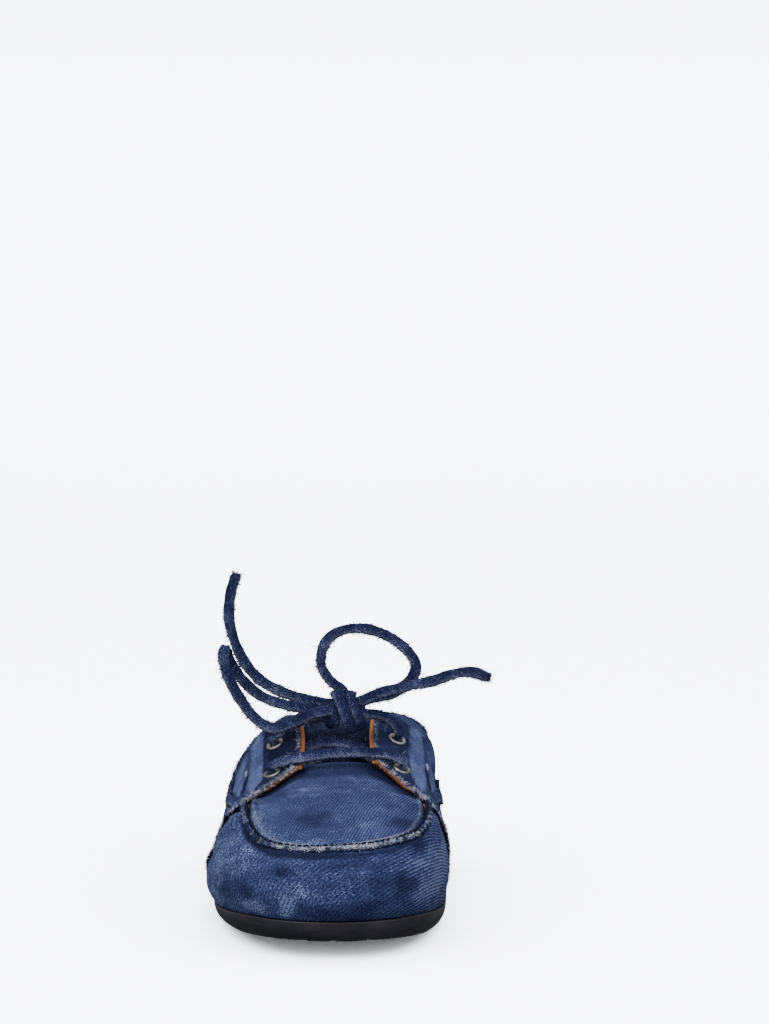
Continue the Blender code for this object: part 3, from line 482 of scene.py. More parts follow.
AROUND = np.concatenate([TOE - LATERAL_TURNS, TOE + MEDIAL_TURNS[-2::-1]])
TUCK, TUCK_TOE, TUCK_END = 4.6, 0.12, 9.0     # mm, the share of it at the toe, turn where it ends
SCALLOP, SCALLOP_PITCH = 0.45, 5.9            # of the tread's teeth that show at the toe


def tuck_under(u, share):
    """How far the side rounds under towards the sole's lower edge, most at the lateral toe corner."""
    turn = u - TOE
    corner = bell(turn, -3.1, 1.9) + 0.5 * bell(turn, 3.4, 1.6)
    return TUCK * (TUCK_TOE + corner) * np.clip(1 - share, 0, 1) ** 2.4 * fall(np.abs(turn), TUCK_END, 4.0)


def sole_ring(x, y):
    u = AROUND[np.rint(x * (len(AROUND) - 1)).astype(int)]
    out, share, extra = np.moveaxis(along(SOLE_SIDE, y * (len(SOLE_SIDE) - 1)), -1, 0)
    s = sole_edge(u)[0][..., 1]
    under, top = sole_under(s), sole_top(s)
    across = sole_edge(u)[0][..., 0]
    scallop = SCALLOP * (0.5 - 0.5 * np.cos(across * 2 * math.pi / SCALLOP_PITCH))
    scallop = scallop * fall(np.abs(across), 20.0, 5.0) * (s < 60) * fall(share, 0.16, 0.12)
    return edge_inset(u, tuck_under(u, share) - out, under + (top - under) * share + extra + scallop)


def sole_cap(level, height):
    """Straight bands from the lateral to the medial edge of a level of the ring."""
    def shape(x, y):
        k = np.rint(y * BANDS).astype(int)
        out, share = SOLE_SIDE[level, :2]
        left, right = TOE - LATERAL_TURNS[k], TOE + MEDIAL_TURNS[k]
        left = edge_inset(left, tuck_under(left, share) - out, 0.0)
        right = edge_inset(right, tuck_under(right, share) - out, 0.0)
        points = left + (right - left) * x[..., None]
        points[..., 2] = height(points, x)
        return points
    return shape


TREAD_DEPTH, LUG_LONG, LUG_WIDE, GROOVE, LUG_WALL = 1.2, 9.6, 14.6, 2.0, 0.7
ARCH = (136.0, 184.0)


def tread(points, x):
    """Blocks of tread in staggered rows, under the forefoot and the heel."""
    px, s = points[..., 0], points[..., 1]
    row = np.floor(s / LUG_LONG)
    in_long = np.abs((s / LUG_LONG) % 1 - 0.5) * LUG_LONG
    in_wide = np.abs((px / LUG_WIDE + 0.5 * (row % 2)) % 1 - 0.5) * LUG_WIDE
    block = np.clip((LUG_LONG / 2 - GROOVE / 2 - in_long) / LUG_WALL + 0.5, 0, 1)
    block *= np.clip((LUG_WIDE / 2 - GROOVE / 2 - in_wide) / LUG_WALL + 0.5, 0, 1)
    block *= np.where((s > ARCH[0]) & (s < ARCH[1]), 0.0, 1.0)
    block *= np.clip(np.minimum(x, 1 - x) * 30 - 0.4, 0, 1)
    return sole_under(s) + TREAD_DEPTH * (1 - block)


work = bmesh.new()
for part, across, along_it, shape in (
        ("side", len(AROUND) - 1, 40, sole_ring),
        ("underside", ACROSS, BANDS, sole_cap(0, tread)),
        ("top", ACROSS, BANDS, sole_cap(-1, lambda points, x: sole_top(points[..., 1])))):
    face = grid_piece("outsole_" + part, across, along_it, shape, [black_rubber],
                      weld=part == "side")
    work.from_mesh(face.data)
    bpy.data.objects.remove(face)
bmesh.ops.remove_doubles(work, verts=work.verts, dist=0.02 * MM)
bmesh.ops.recalc_face_normals(work, faces=work.faces)
outsole = finish_piece("outsole_moulding", mesh_of("outsole_moulding", work), [black_rubber])
outsole.data.set_sharp_from_angle(angle=math.radians(50))
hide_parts("outsole")

# ---------------------------------------------------------------- insole
# A footbed of thin tan leather over board, glued into the cup, a little dished, with a
# tooled line round its edge.


def leather(name, dark, light, grain_size=1500.0):
    paint = Paint(name)
    at = paint.place()
    cloud = paint.noise(at, 38.0, 4.0, 0.6)
    pores = paint.noise(at, grain_size, 2.0)
    crease = paint.noise(paint.mapped(at, (260, 60, 200)), 1.0, 2.0)
    tone = (cloud * 0.7 + crease * 0.3).step(0.32, 0.7) - paint.attribute("dark") * 0.6
    return paint.finish(
        Base_Color=paint.mix(tone.clamped(), dark, light),
        Roughness=0.46 + pores * 0.16,
        Normal=paint.bump(pores + crease * 0.5, 0.3, 0.0003))


footbed_leather = leather("footbed_leather", (0.27, 0.12, 0.045), (0.46, 0.235, 0.10))
INSOLE_THICK, INSOLE_DISH = 2.3, 0.7
INSOLE_UNDER_UPPER, INSOLE_OPEN = 4.4, 1.2        # inset inside the upper and behind it
UPPER_END, UPPER_FADE = 188.0, 12.0               # station where the upper ends
TOOLED_LINE = 0.13                                # of the way in from the edge


def insole_shape(x, y):
    k = np.rint(y * BANDS).astype(int)
    sides = []
    for turns, side in ((LATERAL_TURNS, -1), (MEDIAL_TURNS, 1)):
        u = TOE + side * turns[k]
        s = sole_edge(u)[0][..., 1]
        share = ramp(s, UPPER_END, UPPER_FADE)
        inset = INSOLE_UNDER_UPPER + (INSOLE_OPEN - INSOLE_UNDER_UPPER) * share
        sides.append(edge_inset(u, inset, 0.0))
    points = sides[0] + (sides[1] - sides[0]) * x[..., None]
    edge = np.minimum(x, 1 - x) * 2
    span = sides[1][..., 0] - sides[0][..., 0]
    inside = np.clip(span / 24.0, 0, 1)
    dish = INSOLE_DISH * np.sqrt(np.clip(edge * (2 - edge), 0, 1)) * inside
    rim = bell(edge, TOOLED_LINE, 0.025) * 0.25 * inside
    roll = 0.5 * np.maximum(np.exp(-edge / 0.03), np.exp(-span / 5.0))
    points[..., 2] = sole_top(points[..., 1]) + SEAT + INSOLE_THICK - dish - rim - roll
    return points


insole = grid_piece("insole_footbed", ACROSS, BANDS, insole_shape, [footbed_leather],
                    weld=True,
                    layers={"dark": lambda x, y, p: bell(np.minimum(x, 1 - x) * 2, TOOLED_LINE, 0.03)})


# A skived wall: mm from the thin place to where it thickens, mm over which it does, least share.
SKIVE_START, SKIVE_LENGTH, THINNEST = 3.0, 6.0, 0.2


def thicken(item, thickness, inner=0, rim=0, thin_at=()):
    """A wall laid inwards from the piece's surface, with other finishes inside and on its edge,
    skived thin around some places."""
    wall = item.modifiers.new("wall", "SOLIDIFY")
    wall.thickness = thickness * MM
    wall.offset = -1.0
    wall.use_quality_normals = True
    wall.material_offset = inner
    wall.material_offset_rim = rim
    if thin_at:
        group = item.vertex_groups.new(name="wall")
        for vert in item.data.vertices:
            left = [max(least, (np.linalg.norm(np.array(vert.co) - spot) / MM - SKIVE_START) / SKIVE_LENGTH)
                    for spot, least in thin_at]
            group.add([vert.index], min(1.0, *left), "REPLACE")
        wall.vertex_group = "wall"
        wall.thickness_vertex_group = THINNEST


face_outwards(insole, inside=(0, 130, -400))
thicken(insole, INSOLE_THICK - 0.5)
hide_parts("insole")

# ---------------------------------------------------------------- denim
# Washed indigo twill: steep diagonal ribs, pale weft showing between them, and the
# wear that washing leaves. Pale and dark spots come with each piece, as attributes; on
# the cloth the dark one also holds painted shade.

TWILL_PITCH = 1.36
BARE_WEFT = (0.50, 0.52, 0.64)
WASHED = ((0.011, 0.014, 0.046), (0.027, 0.036, 0.108), (0.054, 0.073, 0.200), (0.104, 0.142, 0.345),
          (0.28, 0.35, 0.60))
DARK = ((0.004, 0.005, 0.016), (0.009, 0.011, 0.034), (0.018, 0.022, 0.062), (0.045, 0.056, 0.125),
        (0.15, 0.18, 0.30))
CORD_DYE = ((0.006, 0.008, 0.032), (0.015, 0.018, 0.068), (0.031, 0.037, 0.118), (0.078, 0.096, 0.220),
            (0.28, 0.32, 0.52))


def denim(name, tones, turn, pitch=TWILL_PITCH, contrast=1.0, chalk=1.0, cloudy=1.0):
    """Twill whose ribs run at an angle to the cloth; five tones from deep dye to bare weft."""
    paint = Paint(name, Roughness=0.92, Specular_IOR_Level=0.12)
    cloth = paint.cloth()
    straight = paint.mapped(cloth, (1, 1, 1), -turn)
    drift = paint.noise(cloth, 0.10, 2.0)
    across = paint.node("ShaderNodeSeparateXYZ", {}, {"Vector": straight}, "Y")
    rib = (across * (2 * math.pi / pitch) + drift * 5.0).math("SINE") * 0.5 + 0.5
    ribbed = paint.attribute("ribbed")
    dash = paint.noise(paint.mapped(straight, (1.1, 2.6, 1)), 1.0, 2.0, 0.6).step(0.36, 0.64)
    fleck = paint.noise(paint.mapped(straight, (1.8, 3.3, 1)), 1.0, 1.0).step(0.55, 0.66)
    weft = paint.noise(paint.mapped(cloth, (1.4, 3.0, 1)), 1.0, 1.0).step(0.35, 0.65)
    cloud = paint.noise(cloth, 0.055, 3.0, 0.6)
    mottle = paint.noise(cloth, 0.18, 4.0, 0.62)
    ragged = (paint.attribute("pale") + (mottle - 0.5) * 1.1 + (dash - 0.5) * 0.2).step(0.18, 0.72)
    wash = (cloud - 0.5) * (0.8 * cloudy) + (mottle - 0.5) * (0.7 * cloudy)
    # The dark attribute darkens the ground: unworn dye, and painted shade where pieces overhang, crease or
    # meet the sole.
    ground = (0.44 + wash + ragged * 0.26 - paint.attribute("dark") * 0.5).clamped()
    weave = (rib - 0.5) * (0.14 + ribbed * 0.26) + (dash - 0.5) * (0.42 - ribbed * 0.14)
    weave = weave + (weft - 0.5) * 0.20
    tone = ground + weave * (0.45 + ground) * (1.3 * contrast)
    tone = (tone + fleck * (0.10 + ground * 0.35) * chalk).clamped()
    stops = tuple(zip((0.0, 0.25, 0.5, 0.75, 1.0), tones))
    colour = paint.node("ShaderNodeValToRGB", {"stops": stops}, {"Fac": tone})
    bare = paint.attribute("raw") * (0.1 + fleck * 0.8 + dash * 0.8)
    colour = paint.mix(bare.clamped(), colour, BARE_WEFT)
    return paint.finish(Base_Color=colour,
                        Normal=paint.bump(rib * 0.6 + dash * 0.7 + weft * 0.2, 0.6, 0.0004))


vamp_denim = denim("vamp_denim", WASHED, math.radians(52), contrast=1.15, cloudy=0.7)
plug_denim = denim("plug_denim", WASHED, math.radians(70), pitch=1.25, cloudy=0.6)
quarter_denim = denim("quarter_denim", WASHED, math.radians(60), contrast=0.6, chalk=0.4, cloudy=0.5)
dark_denim = denim("dark_denim", DARK, math.radians(62), contrast=0.8, chalk=0.6)
lace_denim = denim("lace_denim", CORD_DYE, math.radians(35), pitch=0.9, contrast=1.3, chalk=1.1)
lining_leather = leather("lining_leather", (0.30, 0.10, 0.028), (0.55, 0.20, 0.055), 2200.0)


def cotton(name, root, middle, tip):
    """Frayed yarn ends: the piece's shade attribute runs from dyed through pale to bare cotton."""
    paint = Paint(name, Roughness=0.95, Specular_IOR_Level=0.1)
    shade = (paint.attribute("shade") * (0.8 + paint.noise(paint.place(), 900.0, 1.0) * 0.4)).clamped()
    stops = ((0.0, root), (0.5, middle), (0.9, tip))
    return paint.finish(Base_Color=paint.node("ShaderNodeValToRGB", {"stops": stops}, {"Fac": shade}))


frayed_cotton = cotton("frayed_cotton", (0.012, 0.016, 0.05), (0.15, 0.20, 0.45), (0.90, 0.92, 1.0))
lace_fluff = cotton("lace_fluff", (0.014, 0.017, 0.06), (0.05, 0.06, 0.15), (0.42, 0.46, 0.70))

# ---------------------------------------------------------------- vamp
# The front of the upper: one horseshoe of denim lined with tan leather, lasted over the
# toe and cemented to the sole. Its sides run back under the quarters to the collar.

WALL, QUARTER_WALL, QUARTER_RISE = 2.0, 1.8, 1.1
UNDER_QUARTER = QUARTER_RISE - QUARTER_WALL - 1.5 * GAP
SEAM_TURN = NAMES.index("seam corner")
LAST = NAMES.index("collar foot")


def ease(value, start, end):
    """0 at the start, 1 at the end, smooth between; the start may be the larger."""
    share = ramp(value, start, end - start)
    return share * share * (3 - 2 * share)


WAIST_SINK, BELLY_SWELL, BROW_SWELL = 2.4, 1.5, 1.9


def fullness(u, v):
    """How far the worn cloth stands off the last's line towards the medial side, in mm: it sinks
    at the lateral waist, swells over the sole there, and swells at the back of the medial side."""
    turn = u - TOE
    start = 3.9 + 1.2 * ease(v, 0.6, 0.85)
    below = np.maximum(ease(v, 1.6, 1.02), ease(-turn, 9.6, 11.0))
    above = ease(v, 0.20 - 0.12 * ease(-turn, 9.0, 12.0), 0.38 + 0.5 * ease(-turn, 9.0, 12.5))
    waist = above * below * ease(-turn, start, start + 1.7) * ease(-turn, 14.2, 11.8)
    belly = bell(v, 0.14, 0.11) * ease(-turn, 2.8, 4.2) * ease(-turn, 7.0, 5.0)
    brow = bell(v, 0.85, 0.40) * ease(turn, 9.0, 11.0) * ease(turn, 13.4, 11.9)
    return WAIST_SINK * waist - BELLY_SWELL * belly + BROW_SWELL * brow


def form(u, v):
    """The upper's form: row u, v from 0 at the sole to 1 at the shoulder to 2 at the open edge."""
    u, v = np.broadcast_arrays(np.asarray(u, float), np.asarray(v, float))
    shoulder = along(SHOULDER_LINE, u, SHARP)
    foot, out = sole_edge(u)
    start = np.concatenate([foot, (sole_top(foot[..., 1]) + SEAT)[..., None]], -1)
    handles = along(HANDLES, u)
    belly = start + np.concatenate([out * handles[..., :1], handles[..., 1:2]], -1)
    brow = shoulder + np.concatenate([out * handles[..., 2:3], handles[..., 3:4]], -1)
    w = np.clip(v, 0, 1)[..., None]
    side = ((1 - w) ** 3 * start + 3 * w * (1 - w) ** 2 * belly
            + 3 * w * w * (1 - w) * brow + w ** 3 * shoulder)
    edge = along(OPEN_EDGE, u, SHARP)
    bow = along(FLAP_BOWS, u)
    reach = np.linalg.norm(edge - shoulder, axis=-1, keepdims=True) * bow
    rise = shoulder - brow
    handle = shoulder + rise / np.linalg.norm(rise, axis=-1, keepdims=True) * reach
    handle = handle + (edge - handle) * (1 - bow) ** 2 / 2
    t = np.clip(v - 1, 0, 1)[..., None]
    flap = (1 - t) ** 2 * shoulder + 2 * t * (1 - t) * handle + t * t * edge
    points = np.where((v > 1)[..., None], flap, side)
    points[..., 0] += fullness(u, v)
    return points


def outward(u, v):
    """Unit normals of the form, away from the foot."""
    u, v = np.broadcast_arrays(np.asarray(u, float), np.asarray(v, float))
    step = 0.02
    run = form(u + step, v) - form(u - step, v)
    rise = form(u, np.minimum(v + step, 2)) - form(u, np.maximum(v - step, 0))
    normal = np.cross(run, rise)
    size = np.linalg.norm(normal, axis=-1, keepdims=True)
    thin = size < 1e-4
    if thin.any():
        other = np.cross(form(u + step, 0.98) - form(u - step, 0.98), form(u, 1.0) - form(u, 0.96))
        normal = np.where(thin, other, normal)
        size = np.linalg.norm(normal, axis=-1, keepdims=True)
    return normal / size


def lifted(u, v, height):
    """Points at a height over the form, in mm."""
    return form(u, v) + outward(u, v) * np.asarray(height, float)[..., None]


def spots(points, table):
    """Sum of soft spots: x, s, z of the middle, reach along each, strength."""
    total = np.zeros(points.shape[:-1])
    for x, s, z, rx, rs, rz, strength in table:
        away = (points - (x, s, z)) / (rx, rs, rz)
        total += strength * np.exp(-(away ** 2).sum(-1))
    return total


# Worn places of the vamp, and dark places, partly unworn dye and partly painted shade low by the sole and
# under the seam: middle, reach each way, strength.
VAMP_PALE = (
    (-48, 58, 15, 6, 22, 5, 1.0), (-50, 70, 30, 6, 30, 10, 0.5), (-32, 13, 20.5, 6, 8, 2.8, 1.0),
    (-18.5, 3.8, 23, 3.2, 6, 5, 1.0), (-13, 2.5, 28, 2.6, 6, 3, 0.6), (-36, 24, 38, 9, 12, 6, 0.4),
    (44.5, 40, 30, 4, 18, 8, 0.7), (36, 17, 23, 4, 8, 3.5, 0.6), (28, 12, 38, 6, 8, 4, 0.35),
    (6, 3, 35, 12, 6, 3, 0.3), (-2, 1, 27, 8, 5, 5, 0.2), (40, 30, 30, 7, 16, 12, 0.45),
    (-44, 40, 32, 7, 18, 10, 0.5), (47, 60, 32, 5, 16, 12, 0.5), (36, 22, 33, 7, 12, 12, 0.35))
# Dark spots: some unworn dye, some painted shade near the sole and under the seam.
VAMP_DYE_AND_SHADE = (
    (-35.5, 17, 26, 5, 9, 3.2, 0.6), (-21, 8, 35, 4, 6, 2.2, 0.6), (-43, 34, 26, 3, 8, 9, 0.35),
    (20, 7, 31, 10, 8, 5, 0.4), (28, 11, 28, 3, 8, 9, 0.5), (-6, 1, 21, 12, 6, 3.5, 0.4),
    (12, 2, 21, 16, 6, 4, 0.45), (4, 9, 39, 26, 7, 4, 0.3), (0, 5, 32, 18, 8, 7, 0.15),
    (34, 21, 43.5, 5, 9, 2.4, 0.7), (-30, 18, 30, 3, 6, 8, 0.2))
# Soft folds of the vamp: from and to (turn, v), width in mm, depth in mm.
VAMP_FOLDS = (
    ((-4.6, 0.30), (-3.2, 0.78), 3.4, 0.65), ((-5.2, 0.22), (-4.2, 0.70), 3.0, 0.5),
    ((-2.2, 0.10), (-2.9, 0.45), 3.6, 0.35), ((3.4, 0.25), (4.4, 0.72), 3.2, 0.45),
    ((4.6, 0.2), (5.2, 0.6), 3.0, 0.4), ((0.6, 0.12), (1.6, 0.30), 4.0, 0.22),
    ((1.45, 0.80), (1.62, 0.48), 1.0, 0.45), ((2.4, 0.6), (2.9, 0.86), 3.2, 0.3))


MM_PER_TURN, MM_PER_V = 15.0, 42.0            # about, over the toes


def folds(u, v, table):
    """Depth of soft troughs with a low ridge at each side."""
    total = np.zeros(np.broadcast(u, v).shape)
    size = np.array([MM_PER_TURN, MM_PER_V])
    p = np.stack([u, v], -1) * size
    for start, end, width, depth in table:
        a, b = ((np.array(point) + (TOE, 0)) * size for point in (start, end))
        share = np.clip(((p - a) @ (b - a)) / ((b - a) @ (b - a)), 0, 1)
        away = np.linalg.norm(p - a - share[..., None] * (b - a), axis=-1) / width
        total += depth * (1 - 1.6 * away ** 2) * np.exp(-away ** 2)
    return total


def waves(points, size, seed, depth):
    """Low uneven waves of soft cloth."""
    shift = Vector((seed * 7.3, seed * 3.1, seed * 5.7))
    flat = points.reshape(-1, 3)
    level = [noise.noise(Vector(point / size) + shift) for point in flat]
    return np.array(level).reshape(points.shape[:-1]) * depth


# The quarters' raw front edges bow forward over the vamp and slope back below the widest
# part of the foot: v, turns from the seam's corner.
EDGE_SLOPE = np.array(((0.0, 1.5), (0.25, 1.15), (0.4, 0.65), (0.5, 0.35), (0.6, -0.05), (0.7, -0.38),
                       (0.8, -0.52), (0.9, -0.46), (0.96, -0.3), (1.0, 0.0)))


def front_edge(v):
    """Turn at which the quarter's front edge crosses height v of the section."""
    return SEAM_TURN + np.interp(v, EDGE_SLOPE[:, 0], EDGE_SLOPE[:, 1])


SEAM_MIDDLE = 0.945                           # where the seam stands on the section
GATHER_PITCH, GATHER = 0.8, 0.22              # small puckers below the seam
ROLL, CREASE, BULGE = 0.5, 1.1, 0.5           # of the cloth drawn up to it, from the seam down


def vamp_shape(x, v):
    u = TOE + (x * 2 - 1) * LAST
    front = fall(np.abs(u - TOE), front_edge(v) - 0.06, 0.3)
    height = UNDER_QUARTER * (1 - front)
    points = form(u, v)
    arc = (u - TOE) * MM_PER_TURN
    pucker = GATHER * np.sin(arc / GATHER_PITCH + 1.5 * np.sin(arc / 9)) * bell(v, 0.87, 0.05)
    drawn = ROLL * bell(v, SEAM_MIDDLE, 0.025) - CREASE * bell(v, 0.900, 0.025)
    bulge = BULGE * bell(v, 0.80, 0.07)
    relief = pucker + drawn + bulge - folds(u, v, VAMP_FOLDS) + waves(points, 14.0, 1, 0.6)
    tuck = np.clip(v / 0.05, 0, 1)
    return lifted(u, v, height + relief * front * tuck)


FLAT_RADIUS = 58.0            # of the horseshoe that the vamp is cut as


def horseshoe(points, run, rise):
    angle = (run - run[:, [run.shape[1] // 2]]) / FLAT_RADIUS
    reach = FLAT_RADIUS - rise
    return np.stack([reach * np.sin(angle), -reach * np.cos(angle)], -1) + 200.0


def vamp_dye_and_shade(x, y, points):
    """Darkening of the vamp: painted shade at the sole's edge, painted shadow in a band under the seam in
    front (partly darker dye) and in the crease below it, painted shadow under the quarters' front edges, and
    dark spots of dye and shade.
    """
    # Painted shade along the sole's edge.
    feather = bell(y, 0, 0.05) * 0.2
    # Painted shadow under the seam's overhang in front, partly darker dye, and in the crease under it.
    front = fall(points[..., 1], 44.0, 10.0)
    deep = 0.65 + 1.2 * bell(points[..., 0], -17.0, 15.0)
    middle = 0.79 + 0.085 * ease(np.abs(points[..., 0]), 22.0, 34.0)
    below_seam = bell(y, middle, 0.048) * front * deep
    below_seam = below_seam + bell(y, 0.908, 0.020) * (0.7 + 0.8 * front)
    # Painted shadow on the vamp just under the quarters' front edges.
    shadow_under_wing = bell(np.abs((x * 2 - 1) * LAST) - front_edge(y), -0.05, 0.07) * 0.8
    return feather + below_seam + shadow_under_wing + spots(points, VAMP_DYE_AND_SHADE)


vamp = grid_piece("vamp", 480, 72, vamp_shape, [vamp_denim, lining_leather],
                  flat_cloth=horseshoe,
                  layers={"pale": lambda x, y, p: spots(p, VAMP_PALE), "dark": vamp_dye_and_shade,
                          "ribbed": lambda x, y, p: ramp(p[..., 0], 14.0, 18.0)})
face_outwards(vamp, inside=(0, 90, 20))
thicken(vamp, WALL - 0.4, inner=1, rim=1)
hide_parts("upper")

# ---------------------------------------------------------------- plug
# The apron over the toes, a separate rounded panel of the same denim, dropped in from
# above and gathered to the vamp. It runs back under the wings.

APRON_FRONT, APRON_LENGTH, APRON_WIDTH, APRON_CROWN = 20.0, 78.0, 60.0, 9.2
PLUG_END = NAMES.index("facing foot") + 0.05
PLUG_BOW = 7.0
LIP = 2.2                                     # how far inside the seam the gathered lip stands
PLUG_PALE = (
    (-32, 46, 47, 3.6, 15, 5, 0.6), (-28, 33, 45, 4, 6, 4, 0.9), (-12, 25, 43, 14, 3, 4, 0.4),
    (8, 33, 46, 14, 5, 5, 0.22), (-14, 68, 56, 9, 11, 6, 0.38), (16, 76, 56, 10, 12, 6, 0.3),
    (30, 60, 52, 5, 12, 5, 0.25))
# Dark places of the plug: some unworn dye, and painted shade under the lace bar at its back and by the
# wings' corners.
PLUG_DYE_AND_SHADE = (
    (-9, 42, 49, 7, 7, 6, 0.6), (29, 38, 48, 6, 6, 4, 0.75), (34, 56, 51, 4, 12, 5, 0.35),
    (-22, 70, 55, 6, 9, 5, 0.35), (2, 93, 58, 30, 5, 8, 0.6), (4, 58, 54, 6, 9, 5, 0.2),
    (-30, 80, 54, 6, 5, 5, 0.6), (32, 78, 55, 6, 6, 5, 0.7))
PLUG_RUBBED = ((-32, 45, 46, 3.0, 14, 6, 1.0),)


def seam_line(turn, side, v=1.0, height=0.0):
    return lifted(TOE + side * turn, v, height)


def seam_whiteness(x, s):
    """How bare the seam's raw edges are worn: most across the front, less at the corners."""
    front = fall(s, 42.0, 14.0)
    patches = bell(x, -12, 9) + bell(x, 13, 10) + 0.6 * bell(x, -2, 3) + 0.5 * bell(x, 28, 6)
    return np.clip(0.25 + front * patches, 0, 1)


def plug_shape(x, y):
    turn = y * PLUG_END
    height = np.where(turn > SEAM_TURN, UNDER_QUARTER * ramp(turn, SEAM_TURN, 0.3), 0.0)
    left, right = seam_line(turn, -1, 1.0, height), seam_line(turn, 1, 1.0, height)
    back = ramp((left + right)[..., 1] / 2, APRON_FRONT, APRON_LENGTH)
    width = np.clip((right - left)[..., 0] / APRON_WIDTH, 0, 1)
    arch = 4 * x * (1 - x)
    points = left + (right - left) * x[..., None]
    points[..., 1] += PLUG_BOW * arch * ramp(turn, SEAM_TURN, PLUG_END - SEAM_TURN)
    points[..., 2] += APRON_CROWN * back ** 0.8 * width * arch
    near = plug_edge(points)
    lip = 0.75 * bell(near, LIP, 0.9) - 0.9 * bell(near, 0, 0.8)
    points[..., 2] += lip + waves(points, 16.0, 2, 0.6) * np.clip(near / 4, 0, 1)
    return points


def plug_edge(points):
    """Distance from the seam, in mm."""
    turn = np.linspace(0, SEAM_TURN + 1, 60)
    line = np.concatenate([seam_line(turn[::-1], -1), seam_line(turn, 1)])[:, :2]
    flat = points[..., :2].reshape(-1, 1, 2)
    away = [np.sqrt(((part - line) ** 2).sum(-1)).min(1) for part in np.array_split(flat, 40)]
    return np.concatenate(away).reshape(points.shape[:-1])


def under_wings(points):
    """Shade just in front of the wings' edges, where they stand over the plug."""
    turn = np.linspace(SEAM_TURN, SEAM_TURN + 2.0, 40)
    edges = [seam_line(turn, side, 2.0)[:, :2] for side in (-1, 1)]
    away = [np.linalg.norm(points[..., None, :2] - edge, axis=-1).min(-1) for edge in edges]
    return bell(away[0], 0, 2.6) + bell(away[1], 0, 2.6)


def plug_pale(x, y, points):
    return spots(points, PLUG_PALE) + 0.35 * bell(plug_edge(points), LIP, 0.9)


# Painted shade in the groove at the seam and painted shadow under the wings, over dark spots that are partly
# dye and partly painted shade.
def plug_dye_and_shade(x, y, points):
    return spots(points, PLUG_DYE_AND_SHADE) + 1.5 * bell(plug_edge(points), 0, 0.9) + 1.7 * under_wings(points)


def plug_raw(x, y, points):
    worn = seam_whiteness(points[..., 0], points[..., 1]) * 0.6 * bell(plug_edge(points), LIP, 0.6)
    return worn + 0.1 * spots(points, PLUG_RUBBED)


plug = grid_piece("plug", 150, 150, plug_shape, [plug_denim, lining_leather], weld=True,
                  flat_cloth=lambda p, run, rise: p[..., :2] + 300.0,
                  layers={"pale": plug_pale, "dark": plug_dye_and_shade, "raw": plug_raw,
                          "ribbed": lambda x, y, p: 0.45 + 0.4 * np.clip(p[..., 0] / 20.0, -1, 1)})
face_outwards(plug, inside=(0, 60, 0))
thicken(plug, WALL - 0.4, inner=1, rim=1)

# ---------------------------------------------------------------- apron seam
# The vamp's raw edge is gathered and sewn up against the plug's, so the joint stands up as
# a soft frayed ridge with a line of dark thread in the groove inside it.


def travel(path):
    """Distance gone at each point of a path."""
    return np.concatenate([[0], np.cumsum(np.linalg.norm(np.diff(path, axis=0), axis=1))])


def read_rows(marks, stations, rows):
    """Rows of three numbers, read between their stations."""
    return np.stack([np.interp(marks, stations, rows[:, k]) for k in range(3)], 1)


def even_steps(points, spacing):
    """A smooth route through points, read again at about even distances."""
    points = np.asarray(points, float)
    fine = along(points, np.linspace(0, len(points) - 1, (len(points) - 1) * 16 + 1))
    travelled = travel(fine)
    marks = np.linspace(0, travelled[-1], max(round(travelled[-1] / spacing), 2) + 1)
    return read_rows(marks, travelled, fine)


def unit(vectors):
    return vectors / np.maximum(np.linalg.norm(vectors, axis=-1, keepdims=True), 1e-9)


def strip_axes(path, normals):
    """Directions along a strip, out of its flat side, and across it."""
    tangent = unit(np.gradient(path, axis=0))
    face = unit(normals - (normals * tangent).sum(1, keepdims=True) * tangent)
    return tangent, face, np.cross(tangent, face)


ROUNDING = 0.75                               # of a strip's section: 1 an ellipse, lower more square


def sweep(name, path, normals, half_width, half_depth, finishes, around=20, layers=None):
    """A closed soft strip along a path in mm, its flat side towards the normals.

    half_width and half_depth are in mm for each point of the path; layers gives attributes
    from the distance along, the angle round, and how far towards its lower edge (-1 to 1).
    """
    path = np.asarray(path, float)
    count = len(path)
    _, face, wide = strip_axes(path, normals)
    half_width = np.broadcast_to(half_width, (count,))[:, None]
    half_depth = np.broadcast_to(half_depth, (count,))[:, None]
    angle = np.linspace(0, 2 * math.pi, around, endpoint=False)[None, :]
    out = np.sign(np.cos(angle)) * np.abs(np.cos(angle)) ** ROUNDING * half_width
    up = np.sign(np.sin(angle)) * np.abs(np.sin(angle)) ** ROUNDING * half_depth
    rings = path[:, None] + wide[:, None] * out[..., None] + face[:, None] * up[..., None]
    travelled = travel(path)[:, None]
    low = -np.cos(angle) * wide[:, 2:3] / (np.abs(wide[:, 2:3]) + 0.2) * 1.15
    girth = travel(rings[count // 2])
    girth = np.append(girth, girth[-1] * around / (around - 1))
    closed = np.arange(around + 1) % around
    grids = {key: np.broadcast_to(make(travelled, angle, low), (count, around))[:, closed]
             for key, make in (layers or {}).items()}
    work = laid_grid(rings[:, closed], np.stack(np.broadcast_arrays(travelled, girth), -1), grids)
    bmesh.ops.remove_doubles(work, verts=work.verts, dist=0.002 * MM)
    rims = [edge for edge in work.edges if edge.is_boundary]
    bmesh.ops.holes_fill(work, edges=rims, sides=0)
    bmesh.ops.recalc_face_normals(work, faces=work.faces)
    return finish_piece(name, mesh_of(name, work), finishes)


def small_shape(work):
    """Points and faces of a small shape in a bmesh, which is then freed."""
    work.verts.index_update()
    points = np.array([vert.co for vert in work.verts])
    faces = [[vert.index for vert in face.verts] for face in work.faces]
    work.free()
    return points, faces


def many_copies(name, points, faces, finish):
    """A piece of many small shapes: the points of each in mm, and the faces of one."""
    size = points.shape[1]
    corners = [[k * size + i for i in face] for k in range(len(points)) for face in faces]
    mesh = bpy.data.meshes.new(name)
    mesh.from_pydata(place(points.reshape(-1, 3)), [], corners)
    return finish_piece(name, mesh, [finish])


